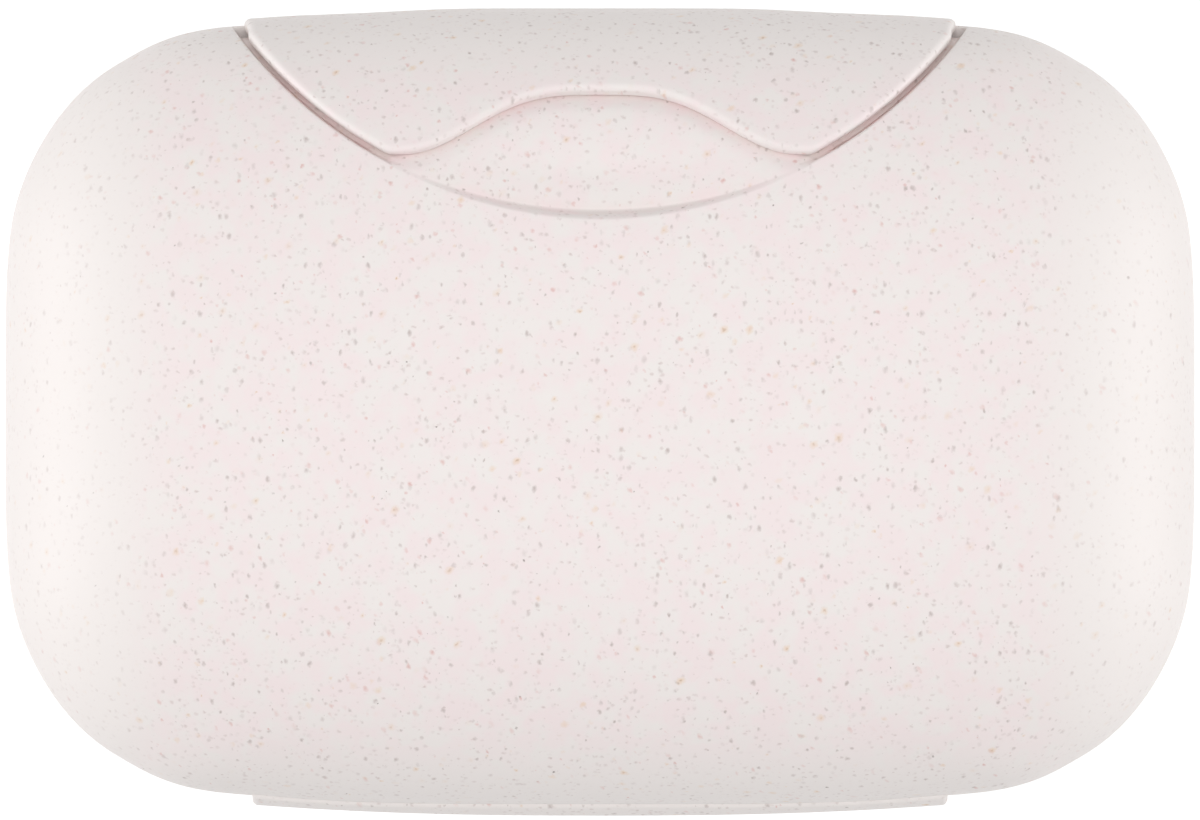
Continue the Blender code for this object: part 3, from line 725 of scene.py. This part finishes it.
# Hinge knuckles, alike at the flap and at the skirt
hinges = {joint["name"]: joint.get("pos_m") for joint in frame["joints"]}
LATCH_AXIS, LID_AXIS = ((hinges[name][1] - SHELL_Y, hinges[name][2]) for name in ("latch_hinge", "lid_hinge"))
PIN_RADIUS = 0.6 * MM
BORE_RADIUS = 0.9 * MM
KNUCKLE_RADIUS = 1.45 * MM
BARREL_START = 15.3 * MM
BARREL_END = 25.2 * MM
KNUCKLE_CHAMFER = 0.2 * MM
NECK_THICK = 1.0 * MM
NECK_OVERLAP = 0.6 * MM


def knuckle(axis, side, reach, x_span, z_span, bore):
    """A sleeve about a hinge's axis, and the block that joins it to a wall on that side of the axis."""
    y_low, y_high = sorted(axis[0] + side * place for place in reach)
    block = soft_block((x_span[0], y_low, z_span[0]), (x_span[1], y_high, z_span[1]), KNUCKLE_CHAMFER)
    return [tube(axis, KNUCKLE_RADIUS, bore, *x_span, KNUCKLE_CHAMFER), block]


def barrels(axis, outward, neck_inner, neck_top):
    """Two barrels with the necks that join them to the plate above."""
    neck = (neck_inner, neck_inner + NECK_THICK)
    return [part for hand in (1, -1) for part in knuckle(
        axis, outward, neck, span(hand, BARREL_START, BARREL_END), (axis[1], neck_top), BORE_RADIUS)]


# Rear skirt of the lid
SKIRT_HALF = 33.55 * MM
SKIRT_PROUD = 1.03 * MM
SKIRT_SUNK = 0.45 * MM
SKIRT_TOP = SEAM_Z + 3.0 * MM
SKIRT_BOTTOM = SEAM_Z - 6.1 * MM
SKIRT_BOW = 1.1 * MM
SKIRT_BOW_POWER = 2.5
SKIRT_END_ROUND = 0.5 * MM
SKIRT_EDGE_ROUND = 0.35 * MM
SKIRT_SLOPE_START = 0.2 * MM
SKIRT_SLOPE_RUN = 2.1 * MM
SKIRT_SLOPE_POWER = 1.25
SKIRT_NECK = 1.0 * MM
SKIRT_COLUMNS = 64
SKIRT_ROWS = 22


def rear_line(x, proud):
    """How far back the outline lies at x, moved outward by proud."""
    return (HALF_WIDTH + proud) * (1 - (np.abs(x) / (HALF_LENGTH + proud)) ** RIM_POWER) ** (1 / RIM_POWER)


def round_over(offset, radius):
    """How far a rounded edge has dropped at an offset from it, below zero inside."""
    into = np.clip(offset + radius, 0, radius)
    return radius - np.sqrt(np.maximum(radius ** 2 - into ** 2, 0))


def edge_stations(half, radius, middle_count):
    """Places from -half to half: closely set over the rounded ends, even between."""
    ends = [half - radius + radius * math.sin(turn) for turn in np.linspace(0, math.pi / 2, EDGE_STEPS + 1)]
    middle = np.linspace(-ends[0], ends[0], middle_count)[1:-1]
    return [-x for x in reversed(ends)] + list(middle) + ends


def make_skirt():
    """The strip that follows the lid's rear outline, with rounded ends and edges."""
    columns = edge_stations(SKIRT_HALF, SKIRT_END_ROUND, SKIRT_COLUMNS)
    half_height = (SKIRT_TOP - SKIRT_BOTTOM) / 2
    rows = edge_stations(half_height, SKIRT_EDGE_ROUND, SKIRT_ROWS)
    bm = bmesh.new()
    bmesh.ops.create_grid(bm, x_segments=len(columns) - 1, y_segments=len(rows) - 1, size=1)
    for vert in bm.verts:
        column = round((vert.co.x + 1) / 2 * (len(columns) - 1))
        row = round((vert.co.y + 1) / 2 * (len(rows) - 1))
        vert.co = (columns[column], 0, rows[row])
    outer = set(bm.verts)
    bmesh.ops.extrude_face_region(bm, geom=bm.faces[:])
    for vert in bm.verts:
        x, z = vert.co.x, vert.co.z
        proud = -SKIRT_SUNK
        if vert in outer:
            bow = HALF_WIDTH + SKIRT_PROUD - SKIRT_BOW * abs(x / SKIRT_HALF) ** SKIRT_BOW_POWER
            slope = 1 - (1 - min((half_height - z) / SKIRT_SLOPE_RUN, 1)) ** SKIRT_SLOPE_POWER
            rounded = (round_over(abs(x) - SKIRT_HALF, SKIRT_END_ROUND)
                       + round_over(abs(z) - half_height, SKIRT_EDGE_ROUND))
            proud = max(blend(SKIRT_SLOPE_START, bow - rear_line(x, 0), slope) - rounded,
                        -SKIRT_SUNK + SKIRT_EDGE_ROUND)
        vert.co = (x, rear_line(x, proud), z + (SKIRT_TOP + SKIRT_BOTTOM) / 2)
    return bm


skirt_neck = SKIRT_NECK - SKIRT_SUNK
lid_parts = [make_lid_body(), make_skirt()] + barrels(LID_AXIS, 1, skirt_neck, SKIRT_BOTTOM + NECK_OVERLAP)
finish_piece("lid_body", lid_parts, "lid", "lid_shell", straw_plastic)


# Latch flap
# A curved plate that wraps from the front of the base up into the lid's recess. Its arched upper
# edge is a finger grip; its edges are rounded all round, and two barrels carry it on the pins.
FLAP_PROUD = 0.65 * MM
FLAP_EDGE = 0.6 * MM
FLAP_FLAT = 0.25 * MM
FLAP_FLAT_START = 12.0 * MM
FLAP_FLAT_SPAN = 24.0 * MM
FLAP_INNER_EDGE = 0.2 * MM
FLAP_HALF = 36.0 * MM
FLAP_LOW = -0.36
FLAP_HIGH = 1.03
FLAP_COLUMNS = 150
FLAP_ROWS = 68
CLIMB_POWER = 1.25
REST_CUT = 0.6 * MM
BASE_RISE = SEAM_Z + REST_CUT


def front_point(x, climb):
    """A point of the front of the shell at x; climb goes from the base (below 0) up the lid."""
    angle = np.abs(climb) ** CLIMB_POWER
    inset = HALF_WIDTH * (1 - np.cos(angle) ** (2 / PROFILE_POWER))
    rise = np.where(climb > 0, LID_RISE, BASE_RISE) * np.sin(angle) ** (2 / PROFILE_POWER)
    power = power_at(inset)
    back = 1 - (np.abs(x) / (HALF_LENGTH - inset)) ** power
    y = -(HALF_WIDTH - inset) * np.maximum(back, 0) ** (1 / power)
    return np.stack([x, y, SEAM_Z + np.sign(climb) * rise], 1)


def flap_state(flat):
    """Points, normals and outline distances of the outer face, from x and climb."""
    points = front_point(flat[:, 0], flat[:, 1])
    outward = np.where(flat[:, 1:2] > 0, normals(points, LID_RISE), normals(points, BASE_RISE))
    return points, outward, flap_offset(points + outward * FLAP_PROUD)


def make_flap_plate():
    """The plate, cut out of a sheet along loops at set distances from its outline."""
    bm = bmesh.new()
    bmesh.ops.create_grid(bm, x_segments=FLAP_COLUMNS, y_segments=FLAP_ROWS, size=1)
    flat = read(bm)
    flat[:, 0] *= FLAP_HALF
    flat[:, 1] = FLAP_LOW + (FLAP_HIGH - FLAP_LOW) * (flat[:, 1] + 1) / 2
    flat[:, 2] = flap_state(flat)[2]
    write(bm, flat)
    levels = [-FLAP_EDGE * (1 - math.sin(math.pi / 2 * index / EDGE_STEPS)) for index in range(EDGE_STEPS)]
    for level in [0.0] + levels:
        cut(bm, (0, 0, level), (0, 0, 1), clear_outer=level == 0)
    outer = set(bm.verts)
    bmesh.ops.extrude_face_region(bm, geom=bm.faces[:])
    top = np.array([vert in outer for vert in bm.verts])
    points, outward, offset = flap_state(read(bm))
    along = np.clip((abs(points[:, 0]) - FLAP_FLAT_START) / FLAP_FLAT_SPAN, 0, 1)
    high = FLAP_PROUD - FLAP_FLAT * np.sin(math.pi * along) ** 2 - round_over(offset, FLAP_EDGE)
    low = -FLAP_PROUD + round_over(offset, FLAP_INNER_EDGE)
    write(bm, points + outward * np.where(top, high, low)[:, None])
    return bm


flap_neck = KNUCKLE_RADIUS - NECK_THICK
flap_parts = [make_flap_plate()] + barrels(LATCH_AXIS, -1, flap_neck, FLAP_BOTTOM + NECK_OVERLAP)
finish_piece("flap", flap_parts, "latch", "latch_flap", straw_plastic)


# Base
# The lower half shell, moulded like the lid and flattened where it rests. Its rim has a tongue that
# enters the lid's channel; its front has the flap's recess and hinge trough, its rear the skirt's seat.
BASE_TIGHT = 1.13 * MM
POCKET_RADIUS = 1.9 * MM
TROUGH_FLOOR = HALF_WIDTH - 2.95 * MM
TROUGH_LOW = LATCH_AXIS[1] - 3.9 * MM
TROUGH_HIGH = LATCH_AXIS[1] + 2.8 * MM
BARREL_GAP = 0.3 * MM
POCKET_START = BARREL_START - BARREL_GAP
POCKET_END = BARREL_END + BARREL_GAP
LUGS = ((12.0 * MM, POCKET_START, 0.0), (POCKET_END, 28.5 * MM, BORE_RADIUS))    # start, end and bore
SEAT_HALF = 33.9 * MM
SEAT_INSET = 0.8 * MM
SEAT_LOW = SEAM_Z - 6.45 * MM
RIDGE_HALF = 30.25 * MM
FRONT_RIDGE_Y = HALF_WIDTH - 5.15 * MM
REAR_RIDGE_Y = HALF_WIDTH - 4.3 * MM
FRONT_RIDGE_Z = (9.7 * MM, 19.2 * MM)
REAR_RIDGE_Z = (9.7 * MM, 16.3 * MM)
HINGE_SIDE = 30.0 * MM
HINGE_FOOT = 8.0 * MM
RIDGE_CUT_REACH = 3 * MM
LUG_ROOT = 0.7 * MM
FLOOR = 2.2 * MM
STEP = 0.08 * MM
REST_BLEND = 0.12 * MM
POCKET_STEPS = 12
POST_SEGMENTS = 48
# Inset and height in millimetres, from the rim's flat face round the tongue and down the inside
BASE_RIM_SECTION = ((2.05, 20.85), (2.2, 21.0), (2.2, 22.1), (2.35, 22.3), (2.85, 22.3), (3.0, 22.1),
                    (3.0, 19.28), (3.0, 19.12), (3.0, 18.4), (2.4, 17.4), (2.45, 17.0))


def soft_max(first, second, reach):
    """The larger of two heights, blended where they meet."""
    return (first + second + np.sqrt((first - second) ** 2 + reach ** 2)) / 2


def between(values, low, high):
    """1 between two places and 0 outside, with a short slope at both."""
    return np.clip((np.minimum(values - low, high - values) + STEP) / (2 * STEP), 0, 1)


def pocket(x, z, axis, inward):
    """Where the round pocket about a barrel lies, and 1 for the points that it takes."""
    depth = np.sqrt(np.maximum(POCKET_RADIUS ** 2 - (z - axis[1]) ** 2, 0))
    taken = between(abs(x), POCKET_START, POCKET_END) * (abs(z - axis[1]) < POCKET_RADIUS)
    return axis[0] + inward * depth, taken


def pocket_cuts(axis):
    """Cutting heights round the curve of a pocket."""
    turns = [math.pi * index / POCKET_STEPS for index in range(POCKET_STEPS + 1)]
    return [axis[1] + POCKET_RADIUS * math.cos(turn) for turn in turns]


def carve_front(points, offset):
    """Hinge trough and barrel pockets in the front recess."""
    x, y, z = points.T
    wall_y = RECESS_CENTRE_Y + np.sqrt(np.maximum((RECESS_RADIUS - BASE_TIGHT - STEP) ** 2 - x ** 2, 0))
    trough = np.minimum(-TROUGH_FLOOR, wall_y)
    share = between(z, TROUGH_LOW, TROUGH_HIGH) * (offset < -STEP_ROUND)
    y = y + np.maximum(trough - y, 0) * share
    groove, share = pocket(x, z, LATCH_AXIS, 1)
    y = np.where(points[:, 1] < 0, y + np.maximum(groove - y, 0) * share, y)
    return np.stack([x, y, z], 1)


def carve_rear(points):
    """The skirt's seat and the barrel pockets at the rear."""
    x, y, z = points.T
    rear = y > 0
    seat = rear_line(np.minimum(abs(x), SEAT_HALF), -SEAT_INSET)
    share = between(abs(x), -SEAT_HALF, SEAT_HALF) * between(z, SEAT_LOW, 2 * SEAM_Z) * rear
    y = y + np.minimum(seat - y, 0) * share
    groove, share = pocket(x, z, LID_AXIS, -1)
    y = y + np.minimum(groove - y, 0) * share * rear
    return np.stack([x, y, z], 1)


def add_ridges(points):
    """Thicker wall inside, behind each hinge."""
    x, y, z = points.T
    across = between(abs(x), -RIDGE_HALF, RIDGE_HALF)
    front = across * between(z, *FRONT_RIDGE_Z) * (y < 0)
    y = y + np.maximum(-FRONT_RIDGE_Y - y, 0) * front
    rear = across * between(z, *REAR_RIDGE_Z) * (y > 0)
    y = y + np.minimum(REAR_RIDGE_Y - y, 0) * rear
    return np.stack([x, y, z], 1)


def both_edges(*places):
    """Two cutting planes on either side of each place, and of its mirror image."""
    return [sign * place + shift for place in places for sign in (1, -1) for shift in (-STEP, STEP)]


def near_hinge(side):
    """A test for the faces at the front, -1, or the rear, 1, that hold the hinge's finer forms."""
    return lambda centre: side * centre.y > HINGE_SIDE and centre.z > HINGE_FOOT


def make_base_body():
    """The half shell itself, with its recess, trough, seats, tongue and inside."""
    bm = make_sheet(BASE_RISE, -1)
    cut_arcs(bm, [offset - BASE_TIGHT for offset in step_offsets(STEP_ROUND) + [EXTRA_ARC]])
    front_face, rear_face = near_hinge(-1), near_hinge(1)
    cut_planes(bm, 0, both_edges(POCKET_START, POCKET_END, RIDGE_HALF), front_face)
    cut_planes(bm, 0, both_edges(POCKET_START, POCKET_END, RIDGE_HALF, SEAT_HALF), rear_face)
    inner = split_inner(bm, -1)
    low_wall = [TROUGH_LOW - shift for shift in step_offsets(STEP_ROUND)]
    cut_planes(bm, 2, low_wall + pocket_cuts(LATCH_AXIS) + [TROUGH_HIGH - STEP, TROUGH_HIGH + STEP], front_face)
    cut_planes(bm, 2, pocket_cuts(LID_AXIS) + [SEAT_LOW - STEP, SEAT_LOW + STEP], rear_face)
    points = settle(read(bm), BASE_RISE)
    arc = recess_offset(points) + BASE_TIGHT
    lower = TROUGH_LOW - points[:, 2]
    offset = np.maximum(arc, lower)
    away, depth = step_shape(offset, np.full(len(points), RECESS_RIM_DEPTH), STEP_ROUND)
    hold = ease(1 + (arc + STEP_ROUND) / HOLD_RUN) * (depth > 0) * (arc >= lower)
    sunk = sink(points, depth, np.where(arc >= lower, away, arc) - BASE_TIGHT, hold, BASE_RISE)
    points = np.where((depth > 0)[:, None], sunk, points)
    points = carve_rear(carve_front(points, offset))
    points[:, 2] = soft_max(points[:, 2], 0, REST_BLEND)
    write(bm, points)
    round_rim(bm, -1)
    for inset, z in BASE_RIM_SECTION:
        def place(angle, old):
            x, y = outline(inset * MM, angle, RIM_POWER)
            if z * MM < FRONT_RIDGE_Z[1] and abs(x) < RIDGE_HALF:
                y = max(y, -FRONT_RIDGE_Y)
            return (x, y, z * MM)
        grow_rim(bm, place)
    inside = settle(read(inner), BASE_RISE)
    inside = inside - normals(inside, BASE_RISE) * WALL
    inside[:, 2] = soft_max(inside[:, 2], FLOOR, REST_BLEND)
    write(inner, inside)
    for place in (FRONT_RIDGE_Z[0], *REAR_RIDGE_Z):
        cut_planes(inner, 2, [place - STEP, place + STEP],
                   lambda centre: abs(centre.z - place) < RIDGE_CUT_REACH)
    write(inner, add_ridges(read(inner)))
    close_wall(bm, inner)
    return bm


def make_lugs():
    """Eight ears, round about the pin and square at the wall: inner and outer, for each barrel."""
    parts = []
    for axis, inward in ((LATCH_AXIS, 1), (LID_AXIS, -1)):
        height = (axis[1] - KNUCKLE_RADIUS, axis[1] + KNUCKLE_RADIUS)
        for hand in (1, -1):
            for start, end, bore in LUGS:
                parts += knuckle(axis, inward, (BORE_RADIUS, POCKET_RADIUS + LUG_ROOT), span(hand, start, end),
                                 height, bore)
    return parts


RACK_FOOT_X = 26.6 * MM
RACK_FOOT_Y = 21.5 * MM
RACK_SEAT_RADIUS = 3.2 * MM
RACK_SEAT_TOP = 5.6 * MM
RACK_SEAT_ROUND = 0.3 * MM


def post(x, y, radius, z_low, z_high, rounding):
    """An upright round post with a rounded end at the top and bottom."""
    bm = bmesh.new()
    bmesh.ops.create_cone(bm, cap_ends=True, segments=POST_SEGMENTS, radius1=radius, radius2=radius,
                          depth=z_high - z_low)
    bmesh.ops.translate(bm, verts=bm.verts[:], vec=(x, y, (z_low + z_high) / 2))
    ends = [edge for edge in bm.edges if abs(edge.verts[0].co.z - edge.verts[1].co.z) < rounding]
    round_edges(bm, ends, rounding)
    return bm


def make_seat(x, y):
    """A low round seat on the floor for a foot of the rack, rooted in the middle of the wall."""
    bm = post(x, y, RACK_SEAT_RADIUS, FLOOR, RACK_SEAT_TOP, RACK_SEAT_ROUND)
    points = read(bm)
    root = SEAM_Z - height_at(inset_at(points), BASE_RISE) + WALL / 2
    points[:, 2] = np.where(points[:, 2] < (FLOOR + RACK_SEAT_TOP) / 2, root, points[:, 2])
    write(bm, points)
    return bm


rack_places = [(x, y) for x in (-RACK_FOOT_X, RACK_FOOT_X) for y in (-RACK_FOOT_Y, RACK_FOOT_Y)]
seats = [make_seat(x, y) for x, y in rack_places]
base_parts = [make_base_body()] + make_lugs() + seats
finish_piece("base_body", base_parts, "base", "base_shell", straw_plastic)


# Hinge pins
# Four short pins of drawn steel wire, each pressed into two ears of the base through one barrel,
# with their ends broken by a small chamfer.
PIN_START = 12.9 * MM
PIN_END = 28.2 * MM
PIN_CHAMFER = 0.12 * MM
STEEL_GREYS = ((0.50, 0.50, 0.49, 1), (0.70, 0.70, 0.69, 1))


def clouded_material(name, scale, detail, colours, rough, strength, depth, metallic):
    """A material whose colour, roughness and relief follow one noise, of its own scale on each axis."""
    material, tree, shader = new_material(name)
    stretched = put(tree, "ShaderNodeMapping", {"Vector": own_place(tree), "Scale": scale}).outputs[0]
    cloud = noise(tree, stretched, 1.0, detail)
    dress(tree, shader, mix(tree, cloud, *colours), remap(tree, cloud, low=rough[0], high=rough[1]), cloud,
          strength, depth)
    shader.inputs["Metallic"].default_value = metallic
    return material


steel = clouded_material("pin_steel", scale=(300.0, 9000.0, 9000.0), detail=3.0, colours=STEEL_GREYS,
                         rough=(0.24, 0.42), strength=0.2, depth=0.02 * MM, metallic=1.0)
for label, axis in (("latch_hinge_pin", LATCH_AXIS), ("lid_hinge_pin", LID_AXIS)):
    for side, hand in (("left", 1), ("right", -1)):
        wire = tube(axis, PIN_RADIUS, 0.0, *span(hand, PIN_START, PIN_END), PIN_CHAMFER)
        finish_piece(f"{label}_{side}_wire", [wire], "base", f"{label}_{side}", steel)


# Seal ring
# A soft silicone ring of rounded section at the bottom of the lid's channel, where the base's tongue
# presses on it; milky and a little waxy.
TONGUE_INNER = 3.0 * MM
SEAL_ROUND = 0.3 * MM
SEAL_TURNS = 240
SEAL_STEPS = 12
SILICONE_GREYS = ((0.74, 0.73, 0.71, 1), (0.82, 0.81, 0.79, 1))


def make_seal():
    """The ring, grown loop by loop round its rounded section and closed on itself."""
    def rounded(low, high, way):
        return (low + high) / 2 + math.copysign((high - low) / 2 - SEAL_ROUND, way) + SEAL_ROUND * way
    angles = [math.tau * step / SEAL_STEPS for step in range(SEAL_STEPS)]
    section = [(rounded(TONGUE_OUTER, TONGUE_INNER, math.cos(angle)),
                rounded(seal_low.z, seal_high.z, math.sin(angle))) for angle in angles]
    bm = bmesh.new()
    turn = bm.verts.layers.float.new("turn")
    bmesh.ops.create_circle(bm, segments=SEAL_TURNS, radius=1)
    for vert in bm.verts:
        vert[turn] = math.atan2(vert.co.y, vert.co.x)
        vert.co = (*outline(section[0][0], vert[turn], RIM_POWER), section[0][1])
    loop = bm.edges[:]
    for inset, z in section[1:] + section[:1]:
        loop = grow_rim(bm, lambda angle, old: (*outline(inset, angle, RIM_POWER), z), loop)
    bmesh.ops.remove_doubles(bm, verts=bm.verts[:], dist=WELD)
    return bm


silicone = clouded_material("seal_silicone", scale=(400.0,) * 3, detail=2.0, colours=SILICONE_GREYS,
                            rough=(0.38, 0.52), strength=0.1, depth=0.03 * MM, metallic=0.0)
finish_piece("seal_ring_soft", [make_seal()], "lid", "seal_ring", silicone)


# Drain rack
# A loose plate of the same plastic, a little less pink, with fainter flecks, nine slots for the water
# to run off and four feet that stand on the base's seats. All its edges are rounded.
rack_low, rack_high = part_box("drain_rack")
RACK_TOP = rack_high.z
RACK_THICK = 1.8 * MM
RACK_BOTTOM = RACK_TOP - RACK_THICK
RACK_EDGE = 0.4 * MM
RACK_CLEARANCE = 0.6 * MM
RACK_GAP = WALL + RACK_CLEARANCE
RACK_TURNS = 240
SLOT_TURNS = 24
SLOT_COUNT = 9
SLOT_PITCH = 7.6 * MM
SLOT_HALF_WIDTH = 1.6 * MM
SLOT_HALF_LENGTH = 17.0 * MM
FOOT_RADIUS = 2.2 * MM
FOOT_ROUND = 0.25 * MM
FLAT_ANGLE = 0.01
SHARP_ANGLE = 1.0
RACK_TINT = (0.985, 1.0, 0.985)
RACK_FLECKS = 0.8
RACK_ROUGHNESS = 0.5


def draw_rack_edge(bm):
    """The inside of the base's wall at the rack's top, moved in by the rack's clearance."""
    verts = bmesh.ops.create_circle(bm, segments=RACK_TURNS, radius=1)["verts"]
    inset = inset_for(SEAM_Z - RACK_TOP, BASE_RISE)
    ring = np.array([(*outline(inset, math.atan2(vert.co.y, vert.co.x)), RACK_TOP) for vert in verts])
    for _ in range(SINK_ROUNDS):
        outward = normals(ring, BASE_RISE)
        moved = ring - outward * RACK_GAP
        ring = settle(ring + (0, 0, 1) * (RACK_TOP - moved[:, 2])[:, None], BASE_RISE)
    for vert, place in zip(verts, ring - normals(ring, BASE_RISE) * RACK_GAP):
        vert.co = (place[0], place[1], RACK_TOP)


def draw_slot(bm, x):
    """A slot with round ends: a circle pulled apart at its middle."""
    verts = bmesh.ops.create_circle(bm, segments=SLOT_TURNS, radius=SLOT_HALF_WIDTH)["verts"]
    bmesh.ops.rotate(bm, verts=verts, matrix=Matrix.Rotation(math.pi / SLOT_TURNS, 3, "Z"))
    for vert in verts:
        pull = math.copysign(SLOT_HALF_LENGTH - SLOT_HALF_WIDTH, vert.co.y)
        vert.co = (vert.co.x + x, vert.co.y + pull, RACK_TOP)


def make_rack_plate():
    """The slotted plate."""
    bm = bmesh.new()
    draw_rack_edge(bm)
    for index in range(SLOT_COUNT):
        draw_slot(bm, (index - (SLOT_COUNT - 1) / 2) * SLOT_PITCH)
    bmesh.ops.triangle_fill(bm, use_beauty=True, edges=bm.edges[:])
    bmesh.ops.dissolve_limit(bm, angle_limit=FLAT_ANGLE, verts=bm.verts[:], edges=bm.edges[:])
    grown = bmesh.ops.extrude_face_region(bm, geom=bm.faces[:])["geom"]
    for vert in [item for item in grown if isinstance(item, bmesh.types.BMVert)]:
        vert.co.z = RACK_BOTTOM
    bmesh.ops.recalc_face_normals(bm, faces=bm.faces[:])
    sharp = [edge for edge in bm.edges if len(edge.link_faces) == 2 and edge.calc_face_angle() > SHARP_ANGLE]
    round_edges(bm, sharp, RACK_EDGE)
    return bm


rack_plastic = straw_material("rack_plastic", RACK_TINT, RACK_FLECKS, RACK_ROUGHNESS)
rack_parts = [make_rack_plate()]
for x, y in rack_places:
    rack_parts.append(post(x, y, FOOT_RADIUS, rack_low.z, RACK_TOP - RACK_THICK / 2, FOOT_ROUND))
rack = finish_piece("rack_plate", rack_parts, "rack", "drain_rack", rack_plastic)
weigh = rack.modifiers.new("even_shading", "WEIGHTED_NORMAL")
weigh.keep_sharp = True


# Stage
# A plain pale floor under soft lamps to the left, to the right and above, and a camera that looks
# straight down on the closed box with its latch at the top of the picture.
FRAME_WIDTH = 116.07 * MM
CAMERA_HEIGHT = 2.5
SENSOR = 36.0
WORLD_LEVEL = 0.42
FLOOR_HALF = 3.0
FLOOR_GREY = 0.78
FLOOR_ROUGHNESS = 0.9
FLOOR_GLOW = 0.55
LAMPS = (
    # name, place, side and power
    ("left_lamp", (1.3, 0.0, 0.34), 0.9, 8.0),
    ("right_lamp", (-1.3, 0.0, 0.34), 0.9, 7.2),
    ("top_lamp", (0.0, 0.02, 1.6), 1.2, 10.15),
)

for name, place, size, power in LAMPS:
    light = bpy.data.lights.new(name, "AREA")
    light.shape = "SQUARE"
    light.size = size
    light.energy = power
    lamp = new_object(name, light)
    lamp.location = place
    lamp.rotation_mode = "QUATERNION"
    lamp.rotation_quaternion = lamp.location.to_track_quat("Z", "Y")


def seen_directly(tree):
    """1 for what the camera sees straight, or mirrored in or through a piece."""
    path = put(tree, "ShaderNodeLightPath").outputs
    mirrored = maths(tree, "MAXIMUM", path["Is Glossy Ray"], path["Is Transmission Ray"])
    return maths(tree, "MAXIMUM", path["Is Camera Ray"], mirrored)


world = bpy.data.worlds.new("studio")
world.use_nodes = True
bpy.context.scene.world = world
tree = world.node_tree
feed(tree, tree.nodes["Background"], {
    "Color": (1, 1, 1, 1), "Strength": remap(tree, seen_directly(tree), low=WORLD_LEVEL)})

bm = bmesh.new()
bmesh.ops.create_grid(bm, x_segments=1, y_segments=1, size=FLOOR_HALF)
mesh = mesh_from(bm, "floor")
new_object("floor", mesh)
pale, tree, shader = new_material("pale_floor")
feed(tree, shader, {
    "Base Color": (FLOOR_GREY, FLOOR_GREY, FLOOR_GREY, 1), "Roughness": FLOOR_ROUGHNESS,
    "Emission Color": (1, 1, 1, 1),
    "Emission Strength": maths(tree, "MULTIPLY", seen_directly(tree), FLOOR_GLOW)})
mesh.materials.append(pale)

camera = bpy.data.cameras.new("camera")
camera.sensor_width = SENSOR
camera.lens = SENSOR * CAMERA_HEIGHT / FRAME_WIDTH
camera.clip_end = 10.0
eye = new_object("camera", camera)
eye.location = (0, SHELL_Y, SEAM_Z + CAMERA_HEIGHT)
eye.rotation_euler = (0, 0, math.pi)
bpy.context.scene.camera = eye
bpy.context.scene.view_settings.view_transform = "Standard"
